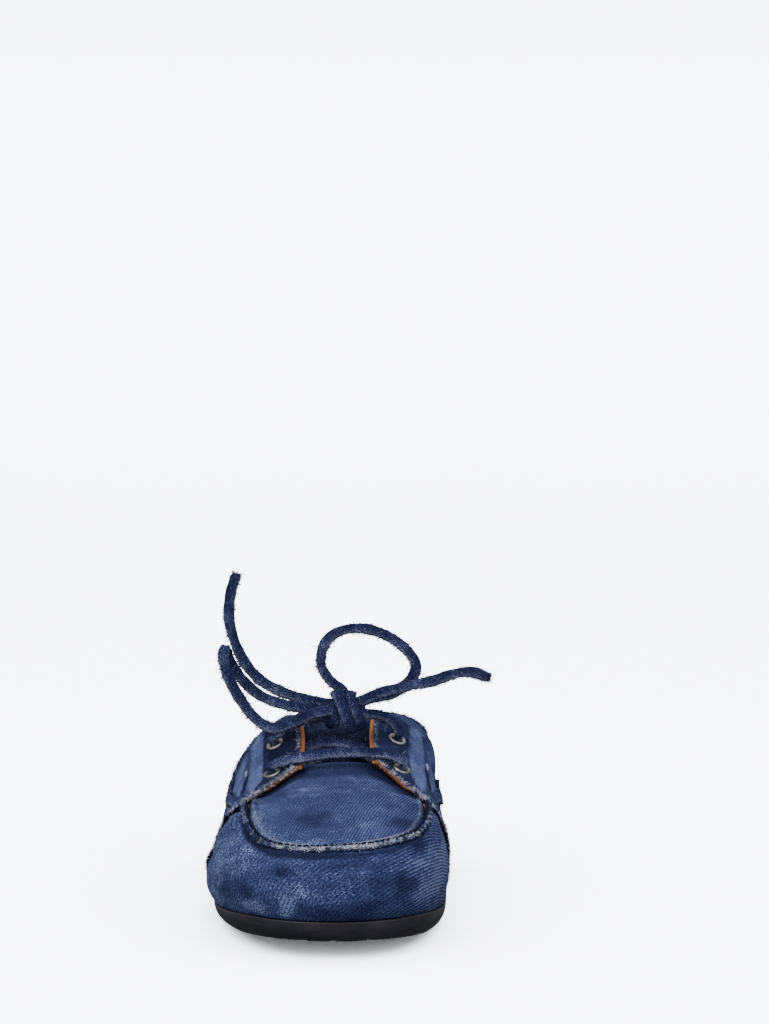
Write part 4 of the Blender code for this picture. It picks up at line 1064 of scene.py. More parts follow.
def yarn_ends(name, roots, ways, lengths, radius, shade_root, shade_tip, finish, seed,
              curl=0.35):
    """Loose yarns as one mesh: each a bent three-sided taper from its root."""
    rng = np.random.default_rng(seed)
    work = bmesh.new()
    bmesh.ops.create_cone(work, cap_ends=True, segments=3, radius1=1.0, radius2=0.45, depth=1.0)
    bmesh.ops.translate(work, vec=(0, 0, 0.5), verts=work.verts)
    bmesh.ops.bisect_plane(work, geom=work.verts[:] + work.edges[:] + work.faces[:],
                           plane_co=(0, 0, 0.55), plane_no=(0, 0, 1))
    one, faces = small_shape(work)
    ways = unit(np.asarray(ways, float))
    count = len(roots)
    lengths, radius, shade_root, shade_tip = (np.broadcast_to(part, (count,))[:, None]
                                              for part in (lengths, radius, shade_root, shade_tip))
    side = unit(np.cross(ways, rng.normal(size=(count, 3))))
    other = np.cross(ways, side)
    z = one[:, 2][None, :, None]
    bent = side * rng.normal(0.0, curl, (count, 1)) + other * rng.normal(0.0, curl, (count, 1))
    points = (roots[:, None] + (ways[:, None] * z + bent[:, None] * z ** 2) * lengths[..., None]
              + (side[:, None] * one[None, :, :1] + other[:, None] * one[None, :, 1:2]) * radius[..., None])
    shades = shade_root * (1 - z[..., 0]) + shade_tip * z[..., 0]
    yarns = many_copies(name, points, faces, finish)
    shade = yarns.data.attributes.new("shade", "FLOAT", "POINT")
    shade.data.foreach_set("value", shades.ravel().astype(np.float32))


def lumps(count, size, seed):
    """Uneven thickness along a strip, about zero."""
    steps = np.random.default_rng(seed).normal(size=count + 8 * size)
    window = np.hanning(size * 2 + 1)
    soft = np.convolve(steps, window / np.sqrt((window ** 2).sum()), "same")
    return soft[4 * size:4 * size + count]


def tufts(marks, pitch, share_bare, rng, sectors=1):
    """Tones of yarns that fray in small tufts: bare tufts by the given share, dyed ones between."""
    cells = (marks / pitch).astype(int) * sectors + rng.integers(0, sectors, len(marks))
    draw = rng.random(cells.max() + 1)[cells]
    tone = np.clip((share_bare - draw) * 6 + 0.5, 0, 1)
    return 0.12 + 0.82 * tone + rng.normal(0, 0.08, len(marks))


SEAM_REACH, SEAM_STEP = SEAM_TURN - 0.12, 0.5
seam_turns = np.linspace(-SEAM_REACH, SEAM_REACH, 340)
seam_path = even_steps(lifted(TOE + seam_turns, SEAM_MIDDLE, 0.5), SEAM_STEP)
seam_up = outward(TOE + np.linspace(-SEAM_REACH, SEAM_REACH, len(seam_path)), SEAM_MIDDLE)
wobble = lumps(len(seam_path), 3, 12)
seam_path = seam_path + seam_up * 0.12 * lumps(len(seam_path), 5, 13)[:, None]
bare = seam_whiteness(seam_path[:, 0], seam_path[:, 1])


def bead_raw(run, turn, low):
    share = np.interp(run, np.linspace(0, 1, len(bare)) * run.max(), bare)
    return (share - 0.2) * (0.6 + 0.5 * np.sin(run * 2.9 + 2.3 * np.sin(run * 0.7)))


sweep("seam_ridge", seam_path, seam_up, 0.78 + 0.15 * wobble, 0.72 + 0.12 * wobble, [vamp_denim],
      around=12, layers={"pale": lambda run, turn, low: 0.45,
                                         "dark": lambda run, turn, low: 0.1, "raw": bead_raw})
rng = np.random.default_rng(11)
count = 5200
marks = rng.random(count) * (len(seam_path) - 1) * SEAM_STEP
k = (marks / SEAM_STEP).astype(int)
seam_run = unit(np.gradient(seam_path, axis=0))[k]
seam_out = np.cross(seam_run, seam_up[k])
turn_round = rng.normal(0.55, 0.65, count)
away = seam_out * np.sin(turn_round)[:, None] + seam_up[k] * np.cos(turn_round)[:, None]
tone = tufts(marks, 1.6, bare[k] * 0.78, rng, 2) * np.clip(0.55 + bare[k], 0.6, 1.1)
yarn_ends("seam_fray", seam_path[k] + away * 0.62, away + seam_run * rng.normal(0, 1.3, (count, 1)),
          rng.gamma(3.0, 0.19, count), 0.12, tone * 0.85, tone, frayed_cotton, 14)

# The plug's own raw edge, inside the groove.
lip_turns = np.linspace(-SEAM_TURN + 0.05, SEAM_TURN - 0.05, 300)
lip_path = even_steps(lifted(TOE + lip_turns, 1.0, 0.0), SEAM_STEP)
inward = np.array([0.0, 60.0, 47.0]) - lip_path
inward[:, 2] = 0
lip_path = lip_path + unit(inward) * (1.5 + 0.6 * ease(lip_path[:, 1:2], 24.0, 32.0)) + np.array([0, 0, 0.8])
count = 3800
marks = rng.random(count) * (len(lip_path) - 1) * SEAM_STEP
k = (marks / SEAM_STEP).astype(int)
x, s = lip_path[k, 0], lip_path[k, 1]
patch = np.clip(-0.1 * x - 1.8, 0, 1)         # the long pale tuft on the lateral side
worn = (0.45 + 0.4 * ease(x, -2.0, 6.0)) * seam_whiteness(x, s) + 0.10 * patch
tone = tufts(marks, 1.1, worn, rng, 2) * np.clip(0.62 + worn, 0.65, 1.05)
lip_run = unit(np.gradient(lip_path, axis=0))[k]
lip_ways = (unit(inward)[k] * rng.normal(0.9, 0.6, (count, 1)) + lip_run * rng.normal(0, 1.0, (count, 1))
            + np.array([0, 0, 0.4]))
yarn_ends("lip_fray", lip_path[k] + rng.normal(0, 0.25, (count, 3)) * (1, 1, 0.2), lip_ways,
          rng.gamma(3.0, 0.18, count) * (1 + 1.2 * patch), 0.10, tone * 0.8, tone, frayed_cotton,
          16)

paint = Paint("dark_thread", Roughness=0.9, Specular_IOR_Level=0.05)
twist = paint.noise(paint.place(), 2200.0)
dark_thread = paint.finish(Base_Color=paint.mix(twist, (0.006, 0.008, 0.018), (0.02, 0.024, 0.05)))


def stitches(name, path, normals, every, length, radius, finish):
    """A row of stitches along a path: short rounded bars that dip at both ends."""
    travelled = travel(path)
    centres = np.arange(every / 2, travelled[-1], every)
    work = bmesh.new()
    bmesh.ops.create_uvsphere(work, u_segments=6, v_segments=5, radius=1.0)
    one, faces = small_shape(work)
    at = read_rows(centres, travelled, path)
    run = unit(read_rows(centres, travelled, np.gradient(path, axis=0)))
    up = unit(read_rows(centres, travelled, normals))
    aside = np.cross(run, up)
    stretch = np.sign(one[:, 2]) * np.abs(one[:, 2]) ** 0.7
    points = (at[:, None] + run[:, None] * (stretch * length / 2)[None, :, None]
              + aside[:, None] * (one[:, 0] * radius)[None, :, None]
              + up[:, None] * (one[:, 1] * radius + 0.15 - 0.3 * stretch ** 2)[None, :, None])
    return many_copies(name, points, faces, finish)


GROOVE_V = 0.985
groove_turns = np.linspace(-SEAM_REACH, SEAM_REACH, 300)
groove = lifted(TOE + groove_turns, GROOVE_V, 0.75)
groove_up = outward(TOE + groove_turns, GROOVE_V)
stitches("seam_thread", groove + groove_up, groove_up, 2.6, 2.5, 0.42, dark_thread)
# A dark strip down in the groove, under the stitches, is painted shadow in the thread's colour.
groove_path = even_steps(groove[::3] - groove_up[::3] * 0.35, 0.8)
groove_width = 0.40 + 0.22 * ramp(groove_path[:, 1], 24.0, 8.0)
sweep("seam_groove_shadow", groove_path, np.array([0.0, -0.3, 1.0]), groove_width, 0.3, [dark_thread],
      around=8)

# ---------------------------------------------------------------- quarters
# Two side panels laid over the vamp, with wings that reach forward over the plug and
# facings that carry the eyelets. Denim lined with tan leather, edges left raw.

QUARTER_LAST = LAST - 0.05
FACING_STEP, FACING_V = 0.35, 1.36            # the facing is one more layer, from here up
SLIT_DEPTH = 1.1
HANDS = ((-1, "lateral"), (1, "medial"))


def quarter_turns(x, v):
    """Turn of a column of the quarter: its first column follows the raw front edge."""
    start = front_edge(np.minimum(v, 1.0))
    return start + x * (QUARTER_LAST - start)


def quarter_shape(side):
    def shape(x, y):
        v = 2 * y
        turn = quarter_turns(x, v)
        u = TOE + side * turn
        points = form(u, v)
        facing = ramp(turn, 5.6, 0.5) * fall(turn, 9.6, 0.5)
        step = FACING_STEP * facing / (1 + np.exp(-(v - FACING_V) / 0.02))
        groove_line = -0.22 * bell(np.minimum(2 - v, 0.5), 0.085, 0.02)
        calm = fall(v, 2, 0.25) * ramp(turn, front_edge(np.minimum(v, 1)), 0.3)
        slit = -SLIT_DEPTH * slit_mark(turn, v)
        relief = step + groove_line + slit + waves(points, 15.0, 3 + side, 0.7) * calm
        return lifted(u, v, QUARTER_RISE + relief)
    return shape


# The slit that the side lace comes out of: (turn, v) from its front end to its bar tack.
SLIT = np.array(((6.3, 0.855), (6.7, 0.905), (7.1, 0.935), (7.62, 0.965)))
# The side lace from its front end to the slit that it goes back into.
SIDE_LACE_TURNS = (NAMES.index("wing") + 0.45, NAMES.index("collar peak") + 0.3)
SIDE_LACE_LEVEL, SIDE_LACE_RISE = 42.0, {-1: 3.2, 1: 5.0}


def side_lace_v(side, turns):
    """Where on the section the side lace runs: level behind, rising to the slit in front."""
    level = SIDE_LACE_LEVEL + SIDE_LACE_RISE[side] * fall(turns, 8.3, 1.7) ** 1.3
    levels = np.linspace(0, 1, 240)
    heights = form(TOE + side * turns[:, None], levels[None, :])[..., 2]
    return np.array([np.interp(z, row, levels) for z, row in zip(level, heights)])


REAR_SLIT, REAR_SLIT_V = SIDE_LACE_TURNS[1], side_lace_v(-1, np.array(SIDE_LACE_TURNS[1:]))[0]


def slit_mark(turn, v):
    middle = np.interp(turn, SLIT[:, 0], SLIT[:, 1])
    inside = ramp(turn, SLIT[0, 0], 0.1) * fall(turn, SLIT[-1, 0], 0.1)
    rear = bell(turn, REAR_SLIT, 0.07) * fall(np.abs(v - REAR_SLIT_V), 0.085, 0.03)
    return inside * np.exp(-((v - middle) / 0.030) ** 4) + rear


def quarter_pale(x, y, points):
    v = 2 * y
    turn = quarter_turns(x, v)
    strip = bell(v, 1.16, 0.14) * ramp(turn, 5.8, 0.5) * fall(turn, 10.5, 1.5)
    low = bell(v, 0.80, 0.10) * ramp(turn, 6.2, 0.3) * 0.5
    return strip + low + 0.25


# Darker facing of its own dye; painted shadow along the raw front edge, painted shade in the slits and low
# by the sole, and a darker band along the shoulder.
def quarter_dye_and_shade(side):
    def layer(x, y, points):
        v = 2 * y
        turn = quarter_turns(x, v)
        facing = ramp(v, 1.355, 0.03) * ramp(turn, 5.3, 0.3) * fall(turn, 9.8, 0.5)
        line = bell(turn, front_edge(v), 0.07) * (v < 1)
        brow = bell(v, 0.98, 0.05) * 0.35
        low = bell(v, 0, 0.16) * 0.6
        return (0.85 if side < 0 else 0.6) * facing + 0.8 * line + 2.6 * slit_mark(turn, v) + low + brow
    return layer


def quarter_raw(x, y, points):
    v = 2 * y
    turn = quarter_turns(x, v)
    run = np.where(v > 1, points[..., 1], 0)
    edge = bell(v, 2, 0.03) * (0.25 + 0.25 * np.sin(run * 3.1 + 1.7 * np.sin(run * 0.9)))
    tack = bell(turn, 7.78, 0.10) * bell(v, 0.972, 0.014) * 0.8
    return edge * ramp(turn, 5.0, 0.3) + tack


raw_edge = cotton("raw_edge", (0.014, 0.018, 0.05), (0.05, 0.07, 0.17), (0.12, 0.15, 0.3))
edge_leather = leather("edge_leather", (0.34, 0.11, 0.026), (0.62, 0.21, 0.055), 2600.0)
# Where the quarter's wall is skived thin: turn, least share of the thickness.
SKIVED = ((5.5, 0.0), (13.4, 0.5), (14.3, 0.5))
RAW_REACH = 0.8                               # mm from the edge that is raw cloth
for side, hand in HANDS:
    quarter = grid_piece("quarter_" + hand + "_cloth", 200, 64, quarter_shape(side),
                         [quarter_denim, edge_leather, quarter_denim, raw_edge], weld=True,
                         layers={"pale": quarter_pale, "dark": quarter_dye_and_shade(side), "raw": quarter_raw})
    face_outwards(quarter, inside=(0, 120, 20))
    # Along the front edge and the wing's root the wall ends in raw cloth, not in the lining.
    v = np.linspace(0, 1.8, 110)
    front = place(seam_line(front_edge(np.minimum(v, 1)), side, v, QUARTER_RISE))
    for face in quarter.data.polygons:
        if np.linalg.norm(front - np.array(face.center), axis=1).min() < RAW_REACH * MM:
            face.material_index = 2
    thicken(quarter, QUARTER_WALL, inner=1, rim=1,
            thin_at=[(place(form(TOE + side * turn, 1.15)), least) for turn, least in SKIVED])
    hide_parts("quarter_" + hand)


def fray_line(name, side, turns, v, height, count, lie, white, seed, length, band):
    """Frayed yarns along a line of the quarter; lie is how much they lean aside, up and along."""
    turns, v = np.broadcast_arrays(np.asarray(turns, float), np.asarray(v, float))
    points = lifted(TOE + side * turns, v, np.broadcast_to(height, turns.shape))
    travelled = travel(points)
    rng = np.random.default_rng(seed)
    marks = rng.random(count) * travelled[-1]
    at = read_rows(marks, travelled, points)
    up = unit(read_rows(marks, travelled, outward(TOE + side * turns, v)))
    run = unit(read_rows(marks, travelled, unit(np.gradient(points, axis=0))))
    out = np.cross(run, up)
    aside, raised, lengthways = lie
    ways = (out * rng.normal(0, aside, (count, 1)) + up * rng.uniform(0.1, raised, (count, 1))
            + run * rng.normal(0, lengthways, (count, 1)))
    at = at + out * rng.uniform(-band, band, (count, 1))
    tone = tufts(marks, 0.95, np.broadcast_to(white, (count,)), rng, 2)
    yarn_ends(name, at, ways, length * rng.gamma(3.0, 0.33, count), 0.10, tone * 0.75, tone,
              frayed_cotton, seed + 50)


BOTH_WAYS, BESIDE_EDGE = (1.0, 0.6, 0.6), (0.7, 0.5, 1.0)
front = np.linspace(0.02, 1.0, 120)
wing = np.linspace(SEAM_TURN + 0.1, 7.0, 200)
# What frays: turns, v, mm over the quarter, yarns laterally and medially, how they lie, how
# bare they are, seed, length, and half-width of the band that they stand in.
FRAYS = {
    "fray_front": (front_edge(front) + 0.02, front, 0.1, (2600, 2600), BOTH_WAYS, 0.5, 20, 0.9, 0.9),
    "fray_wing": (wing, 2 - np.interp(wing, (5, 6, 7), (0.22, 0.10, 0.07)), 0.1, (1500, 1500), BESIDE_EDGE,
                  0.45, 30, 0.8, 0.7),
    "fray_rim": (np.linspace(SEAM_TURN + 0.05, 6.9, 160), 2.0, -0.35, (900, 260), BOTH_WAYS,
                 0.35, 36, 0.7, 0.25),
    "fray_root": (np.linspace(SEAM_TURN, 5.5, 60), np.linspace(1.1, 1.98, 60), 0.1, (520, 520), BOTH_WAYS,
                  0.4, 38, 1.0, 1.2),
    "fray_throat": (np.linspace(7.0, 9.3, 160), 1.955, 0.1, (620, 620), BESIDE_EDGE, 0.5, 34, 0.7, 0.45),
    "fray_collar": (np.linspace(9.3, QUARTER_LAST, 240), 1.97, 0.05, (1500, 1500), BOTH_WAYS,
                    0.3, 40, 0.8, 0.3),
    "bar_tack": (np.linspace(7.66, 7.95, 12), 0.970, 0.15, (90, 90), BESIDE_EDGE, 0.9, 44, 0.5, 0.15),
}
THROAT = (6.95, 9.3)                          # turns between which the lining shows
for side, hand in HANDS:
    for name, (turns, v, height, counts, lie, white, seed, length, band) in FRAYS.items():
        fray_line(name + "_" + hand, side, turns, v, QUARTER_RISE + height, counts[side > 0], lie, white,
                  seed + side, length, band)
    # The leather lining stands a little past the cloth in the throat.
    lip = even_steps(lifted(TOE + side * np.linspace(*THROAT, 60), 2.0, QUARTER_RISE - 1.0), 1.0)
    lip_out = outward(TOE + side * np.linspace(*THROAT, len(lip)), 1.98)
    lip = lip + np.array([-0.45 * side, -0.25, 0.1])
    shown = 0.85 * np.sin(np.linspace(0.12, 0.92, len(lip)) * math.pi) ** 0.5
    sweep("lining_edge_" + hand, lip, lip_out, 0.35 + shown * 0.75, 0.42, [edge_leather],
          around=10)

# ---------------------------------------------------------------- tongue
# Dark denim folded over a soft filling, sewn in under the plug's back end. Its top hem
# stands free in the throat.

TONGUE_WALL, TONGUE_OFFSET = 2.6, 1.0
TONGUE_SECTIONS = np.array((                  # s, height at the middle, half-width, drop to its sides
    (93.0, 55.6, 20.0, 4.2), (100.0, 56.3, 21.0, 4.4), (107.0, 58.6, 22.5, 4.8),
    (114.0, 62.6, 24.0, 5.4), (122.0, 67.0, 25.5, 6.2), (131.0, 71.2, 26.0, 6.4),
    (141.0, 74.6, 25.0, 6.0), (149.0, 76.2, 21.0, 4.6), (153.0, 76.6, 15.0, 2.6)))


def tongue_shape(x, y):
    s = TONGUE_SECTIONS[0, 0] + (TONGUE_SECTIONS[-1, 0] - TONGUE_SECTIONS[0, 0]) * y
    rows = np.c_[TONGUE_SECTIONS, np.arange(len(TONGUE_SECTIONS))]
    middle, half, drop = np.moveaxis(at_station(rows, s)[..., :3], -1, 0)
    across = x * 2 - 1
    points = np.stack([across * half + TONGUE_OFFSET, s, middle - drop * across ** 2], -1)
    near = np.minimum(np.minimum(1 - np.abs(across), (1 - y) * 2) * 22, 6)
    points[..., 2] += waves(points, 13.0, 6, 0.5) - 0.25 * bell(near, 2.4, 0.5)
    return points


# Painted shade darkens the tongue towards its front, where it runs down under the plug and the laces.
tongue = grid_piece("tongue_cloth", 70, 80, tongue_shape, [dark_denim, lining_leather],
                    layers={"pale": lambda x, y, p: 0.35 * bell(y, 1, 0.03),
                            "dark": lambda x, y, p: 0.25 * bell(y, 0, 0.4)})
face_outwards(tongue, inside=(0, 120, 0))
thicken(tongue, TONGUE_WALL, inner=1)
soft_edge = tongue.modifiers.new("soft_edge", "BEVEL")
soft_edge.width = 0.8 * MM
soft_edge.segments = 2
soft_edge.limit_method = "ANGLE"
soft_edge.angle_limit = math.radians(60)
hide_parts("tongue")

# ---------------------------------------------------------------- eyelets
# Rolled rings of plated brass, set through the facings, with a turned-down rim.

# Each eyelet's place: a section, the share of the way to the next one, and v.
EYELETS = {(-1, "lower"): ("wing", 0.99, 1.57), (1, "lower"): ("wing", 0.93, 1.55),
           (-1, "upper"): ("facing mid", 0.15, 1.60), (1, "upper"): ("facing mid", 0.12, 1.61)}
EYELET_SEAT = 0.35


def eyelet_axis(side, which):
    """Centre of an eyelet on the quarter's outer face, and its axis."""
    name, share, v = EYELETS[side, which]
    u = TOE + side * (NAMES.index(name) + share)
    normals = outward(u + np.array([-0.2, -0.2, 0.2, 0.2]), v + np.array([-0.12, 0.12, -0.12, 0.12]))
    axis = unit(normals.sum(0))
    return lifted(u, v, QUARTER_RISE) + axis * EYELET_SEAT, axis


paint = Paint("nickel", Metallic=1.0)
rub = paint.noise(paint.place(), 900.0, 3.0)
cloud = paint.noise(paint.place(), 160.0, 3.0)
nickel = paint.finish(
    Base_Color=paint.mix(cloud.step(0.35, 0.7), (0.30, 0.285, 0.27), (0.58, 0.56, 0.54)),
    Roughness=0.24 + rub * 0.3,
    Normal=paint.bump(rub, 0.15, 0.0001))
# The ring's section, up its bore, over the rolled rim and back underneath: radius, height.
EYELET_PROFILE = ((2.2, -1.44), (2.2, 0.0), (2.45, 0.42), (2.85, 0.72), (3.1, 1.06), (3.4, 1.13),
                  (3.72, 0.86), (3.9, 0.42), (3.8, 0.30), (2.55, 0.30), (2.55, -1.44))
for side, hand in HANDS:
    for which in ("lower", "upper"):
        centre, axis = eyelet_axis(side, which)
        name = which + "_" + hand
        work = bmesh.new()
        section = [work.verts.new((r * MM, 0.0, z * MM)) for r, z in EYELET_PROFILE]
        lines = [work.edges.new(pair) for pair in zip(section, section[1:] + section[:1])]
        bmesh.ops.spin(work, geom=section + lines, cent=(0, 0, 0), axis=(0, 0, 1), angle=2 * math.pi,
                       steps=40, use_duplicate=False, use_merge=True)
        bmesh.ops.remove_doubles(work, verts=work.verts, dist=0.01 * MM)
        bmesh.ops.recalc_face_normals(work, faces=work.faces)
        turned = Vector(axis).to_track_quat("Z", "Y").to_matrix().to_4x4()
        bmesh.ops.transform(work, matrix=Matrix.Translation(place(centre)) @ turned, verts=work.verts)
        eyelet = finish_piece("eyelet_ring_" + name, mesh_of("eyelet_ring_" + name, work), [nickel])
        eyelet.data.set_sharp_from_angle(angle=math.radians(60))
        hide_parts("eyelet_" + name)

# ---------------------------------------------------------------- laces
# Strips of dark denim, folded and sewn, with fluffy raw edges. One runs through the four
# eyelets and ties in a bow on top; the other is threaded along the collar at each side.

LACE = 4.6
FACE_ON = np.array([0.0, -0.97, 0.25])
CORD_LAYERS = {
    "pale": lambda run, turn, low: 0.35 * ramp(low, 0.1, 0.5)
    + 0.10 * np.sin(run * 0.35 + 2 * np.sin(run * 0.11)),
    "dark": lambda run, turn, low: 0.25 * fall(low, 0.2, 0.5),
    "raw": lambda run, turn, low: 0.30 * ramp(low, 0.30, 0.3)
    + 0.15 * ramp(-low, 0.8, 0.15)}
BUNCHED = (1.6, 1.5)                          # half-width and half-depth inside an eyelet


def lace_strip(name, route, normals, width=LACE, depth=2.7, seed=1, spacing=0.8, narrow=None,
               tips=(1, 1)):
    """A strip of lace along a route: the piece, its path, normals, half-width and half-depth.

    narrow(path) is how bunched it is along the way, and tips how wide it is at its two ends.
    """
    path = even_steps(route, spacing)
    if callable(normals):
        normals = normals(path)
    normals = np.broadcast_to(normals, path.shape)
    count = len(path)
    half = width / 2 + 0.10 * lumps(count, 5, seed)
    thick = depth / 2 + 0.08 * lumps(count, 4, seed + 1)
    if narrow is not None:
        squeeze = narrow(path)
        half = half * (1 - squeeze) + BUNCHED[0] * squeeze
        thick = thick * (1 - squeeze) + BUNCHED[1] * squeeze
    for end, taper in zip((0, -1), tips):
        for step, share in enumerate((taper, 0.5 + taper / 2)):
            k = end - step if end else step
            half[k] *= share
            thick[k] *= share
    strip = sweep(name, path, normals, half, thick, [lace_denim], around=18,
                  layers=CORD_LAYERS)
    return strip, path, unit(normals), half, thick


def lace_fringe(name, path, normals, half, thick, seed, per_mm=9.0, lower=0.75):
    """The fluff along a strip's two raw edges, more along its lower one."""
    rng = np.random.default_rng(seed)
    tangent, face, wide = strip_axes(path, normals)
    count = int(travel(path)[-1] * per_mm)
    k = rng.integers(0, len(path), count)
    sign = np.where(rng.random(count) < lower, -1, 1) * np.sign(wide[k, 2] + 1e-6)
    roots = (path[k] + wide[k] * (sign * half[k] * 0.92)[:, None]
             + face[k] * (rng.uniform(-0.6, 0.6, count) * thick[k])[:, None]
             + tangent[k] * rng.uniform(-0.5, 0.5, (count, 1)))
    ways = (wide[k] * sign[:, None] + tangent[k] * rng.normal(0, 0.9, (count, 1))
            + face[k] * rng.normal(0, 0.35, (count, 1)))
    spiky = rng.random(len(path) * 2 + 2)[(k * 2 + (sign > 0)).astype(int)]
    tone = np.clip((spiky - 0.35) * 1.3 + rng.normal(0, 0.12, count), 0, 1)
    yarn_ends(name, roots, ways, (0.5 + 1.1 * spiky ** 2) * rng.gamma(3.0, 0.30, count),
              0.09 + 0.10 * spiky, tone * 0.3, tone, lace_fluff, seed + 1, curl=0.4)


def frayed_tip(name, path, normals, half, thick, seed):
    """Loose yarns at a cut end of the lace."""
    rng = np.random.default_rng(seed)
    run = unit(path[-1] - path[-3])
    face = unit(normals[-1] - (normals[-1] @ run) * run)
    wide = np.cross(run, face)
    count = 260
    across, deep = rng.uniform(-1, 1, (2, count, 1))
    back = rng.uniform(0, 1.6, (count, 1))
    roots = path[-1] + wide * across * half[-3] * 0.85 + face * deep * thick[-3] * 0.8 - run * back
    ways = run + wide * (across * 0.6 + rng.normal(0, 0.3, (count, 1))) + face * deep * 0.8
    tone = rng.random(count)
    yarn_ends(name, roots, ways, rng.gamma(3.0, 0.35, count), 0.075, tone * 0.4, tone, lace_fluff,
              seed + 1, curl=0.5)


# The bow's two loops and two ends, each a route of points from the knot: x, s, z.
BOW = {
    "lace_loop_left": ((3.0, 109.4, 83.6), (-1.2, 109.6, 83.6), (-6.0, 109.4, 83.4), (-13.9, 108.6, 83.8),
                       (-24.6, 107.6, 86.4), (-33.1, 106.6, 91.0), (-40.2, 105.6, 98.8),
                       (-44.0, 104.4, 106.0), (-45.6, 101.2, 110.4), (-46.0, 98.4, 105.6),
                       (-43.6, 97.4, 98.0), (-39.0, 97.2, 89.4), (-32.6, 97.0, 81.2),
                       (-25.4, 97.4, 77.0), (-17.3, 99.4, 79.0), (-8.8, 102.2, 82.2),
                       (-1.2, 104.4, 83.4), (3.4, 106.6, 83.8)),
    "lace_loop_top": ((7.6, 110.6, 85.6), (5.6, 111.2, 88.8), (3.2, 112.0, 91.8), (0.6, 112.2, 93.4),
                      (-2.0, 112.8, 96.0), (-4.9, 114.0, 101.6), (-3.6, 115.0, 109.7), (1.5, 116.0, 114.8),
                      (10.1, 117.0, 116.7), (18.7, 117.0, 115.4), (27.3, 116.0, 111.2),
                      (33.7, 115.0, 105.3), (35.8, 114.0, 99.8), (32.3, 113.6, 93.5), (25.5, 113.4, 88.7),
                      (15.6, 113.0, 86.8), (9.0, 111.8, 84.4)),
    "lace_end_left": ((3.6, 114.0, 84.0), (-1.5, 115.6, 84.2), (-6.0, 115.7, 84.8), (-11.8, 116.0, 86.1),
                      (-21.3, 116.6, 89.0), (-30.3, 117.2, 93.8), (-37.1, 117.8, 101.0),
                      (-41.8, 118.4, 110.5), (-44.4, 119.0, 121.8), (-43.5, 120.0, 132.0),
                      (-40.9, 121.0, 140.1)),
    "lace_end_right": ((8.6, 108.4, 84.8), (13.6, 106.6, 87.4), (20.7, 106.2, 90.6), (32.6, 105.6, 93.5),
                       (42.4, 104.8, 95.7), (51.3, 104.0, 98.8), (58.9, 103.0, 99.9), (67.0, 102.0, 97.4)),
}
for number, (node, route) in enumerate(BOW.items()):
    returns = node.startswith("lace_loop")
    seed = 60 + 7 * number
    strip, *lie = lace_strip(node + "_strip", route, FACE_ON, seed=seed,
                             tips=(1, 1) if returns else (1, 0.55))
    path = lie[0]
    lace_fringe(node + "_fluff", *lie, seed + 1)
    if not returns:
        frayed_tip(node + "_tip", *lie, seed + 2)
    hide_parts(node)


def through(side, which, heights):
    """Points of the lacing on an eyelet's axis, at heights over the facing."""
    centre, axis = eyelet_axis(side, which)
    return [tuple(centre + axis * height) for height in heights]


DOWN = (3.4, 1.4, -0.8, -2.7)                 # from over the facing to under it
UP = DOWN[::-1]
# The lacing: from the knot down the lateral upper eyelet, under the facings to the medial lower
# one, as a bar across the front to the lateral lower one, and under the facings up to the knot.
lacing_route = [(-1.7, 113.0, 79.0), (-5.5, 114.6, 78.8), (-12.0, 117.4, 77.0), (-18.6, 118.8, 74.6)]
lacing_route += through(-1, "upper", DOWN)
lacing_route += [(-21.6, 119.2, 62.4), (-18.6, 118.2, 63.1), (-15.2, 116.8, 63.9), (-11.0, 115.0, 64.9),
                 (-6.0, 112.8, 67.4), (0.0, 111.0, 68.4), (6.0, 109.4, 67.6), (12.0, 108.0, 65.2),
                 (18.0, 105.6, 61.2), (24.2, 101.2, 57.0)]
lacing_route += through(1, "lower", UP)
lacing_route += [(25.2, 98.2, 64.8), (19.5, 98.6, 65.6), (13.0, 98.2, 66.2), (6.0, 97.8, 66.2),
                 (-1.0, 97.8, 65.8), (-8.0, 98.0, 64.8), (-14.0, 98.8, 63.8), (-20.0, 99.0, 62.6)]
lacing_route += through(-1, "lower", (3.4, 1.4, -0.8, -2.0))
lacing_route += [(-23.0, 101.0, 55.2), (-20.2, 103.6, 55.4), (-15.0, 106.6, 58.4), (-8.0, 109.0, 61.2),
                 (0.0, 111.2, 63.2), (8.0, 113.6, 64.2), (15.0, 116.0, 64.4), (21.0, 117.4, 63.2)]
lacing_route += through(1, "upper", UP)
lacing_route += [(25.4, 117.4, 76.0), (20.0, 116.6, 79.0), (14.0, 114.6, 80.0)]
HOLES = np.array([eyelet_axis(side, which)[0] for side, which in EYELETS])
# Under the facings is below a line, seen from the side, and behind a station: the line's own
# station, height and rise per mm, and then that station.
INSIDE_S, INSIDE_Z, INSIDE_RISE, INSIDE_FROM = 92.0, 52.5, 0.42, 99.0


def in_hole(path):
    """1 where the lace is bunched in an eyelet or hidden under the facings, 0 where it is free."""
    near = np.linalg.norm(path[:, None] - HOLES[None], axis=-1).min(1)
    s, z = path[:, 1], path[:, 2]
    hidden = (z < INSIDE_Z + INSIDE_RISE * (s - INSIDE_S)) & (s > INSIDE_FROM)
    return np.maximum(fall(near, 4.2, 1.6), hidden)


def lacing_normals(path):
    """Flat side away from the foot."""
    return unit(np.stack([path[:, 0] * 0.012, np.full(len(path), -0.75), np.full(len(path), 0.65)], 1))


lacing, path, normals, half, thick = lace_strip("lacing", lacing_route, lacing_normals, 4.9, 2.3, 91,
                                                narrow=in_hole)
free = np.flatnonzero(in_hole(path) < 0.2)
lace_fringe("lacing_fluff", path[free], normals[free], half[free], thick[free], 92)
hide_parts("lace_lacing")

KNOT_MIDDLE = np.array([6.2, 109.0, 81.6])


def round_the_knot(path):
    """Flat side away from the knot's middle."""
    return unit((path - KNOT_MIDDLE) * (0.35, 1, 1))


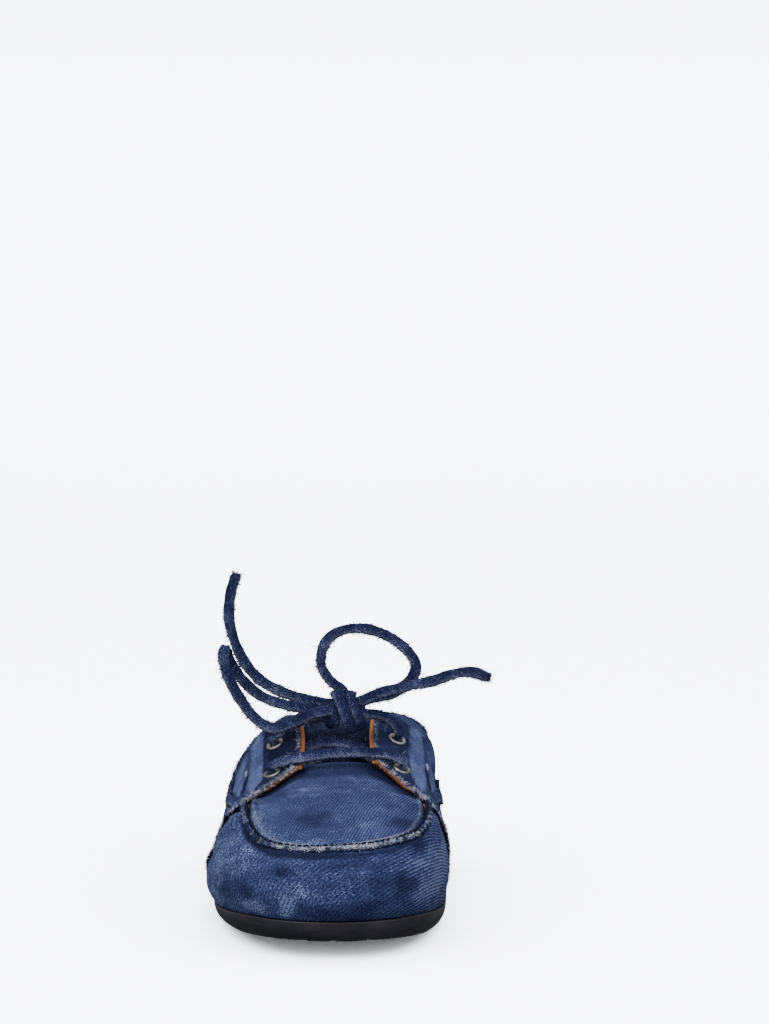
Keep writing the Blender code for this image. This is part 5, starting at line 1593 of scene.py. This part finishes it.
# The knot: a bunched core, a wrap over its front and two turns that lead out of it.
KNOT_TURNS = (
    ("knot_core", ((-1.2, 109.0, 80.2), (2.5, 108.6, 81.2), (6.5, 108.4, 81.6), (10.5, 108.8, 82.0),
                   (13.2, 109.6, 82.6)), 10.5, 8.0, FACE_ON),
    ("knot_wrap", ((2.2, 113.0, 87.4), (1.4, 109.6, 90.0), (2.4, 105.4, 89.4), (3.9, 103.2, 86.0),
                   (5.6, 102.2, 81.8), (7.2, 102.8, 77.6), (8.4, 105.4, 74.6), (9.0, 109.0, 73.8)),
     4.9, 2.5, round_the_knot),
    ("knot_right_turn", ((7.4, 113.6, 87.6), (7.4, 110.0, 89.8), (8.0, 106.0, 88.6), (9.2, 103.8, 85.0),
                         (10.8, 103.4, 80.8), (12.0, 105.0, 77.0), (12.4, 108.6, 75.0)), 4.6, 2.5,
     round_the_knot),
    ("knot_left_turn", ((-1.6, 106.6, 82.6), (0.2, 104.6, 81.8), (0.8, 104.0, 79.4), (0.0, 105.2, 77.2),
                        (-1.4, 108.0, 76.0)), 4.2, 2.4, round_the_knot),
)
for number, (name, route, width, depth, facing) in enumerate(KNOT_TURNS):
    strip, *lie = lace_strip(name, route, facing, width, depth, 110 + number, 0.7)
    if number:
        lace_fringe(name + "_fluff", *lie, 120 + number, lower=0.5)
    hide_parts("lace_knot")

# The side laces come out of the slit, fall to a level below the collar and dip into a
# second slit behind.
side_denim = denim("side_lace_denim", CORD_DYE[1:4] + WASHED[3:], math.radians(35), pitch=0.9,
                   contrast=0.8, chalk=0.9)
for side, hand in HANDS:
    share = np.linspace(0, 1, 90)
    turns = np.linspace(*SIDE_LACE_TURNS, 90)
    u, v = TOE + side * turns, side_lace_v(side, turns)
    dip = np.clip(np.minimum(share, 1 - share) / 0.06, 0, 1) ** 0.6
    facing = outward(u, v)
    strip, *lie = lace_strip(
        "side_lace_" + hand + "_strip", lifted(u, v, QUARTER_RISE - 0.9 + dip * 1.9),
        lambda path: read_rows(np.linspace(0, 1, len(path)), share, facing), LACE, 1.9, 130 + side)
    strip.data.materials[0] = side_denim
    lace_fringe("side_lace_" + hand + "_fluff", *lie, 140 + side, lower=0.5)
    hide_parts("side_lace_" + hand)
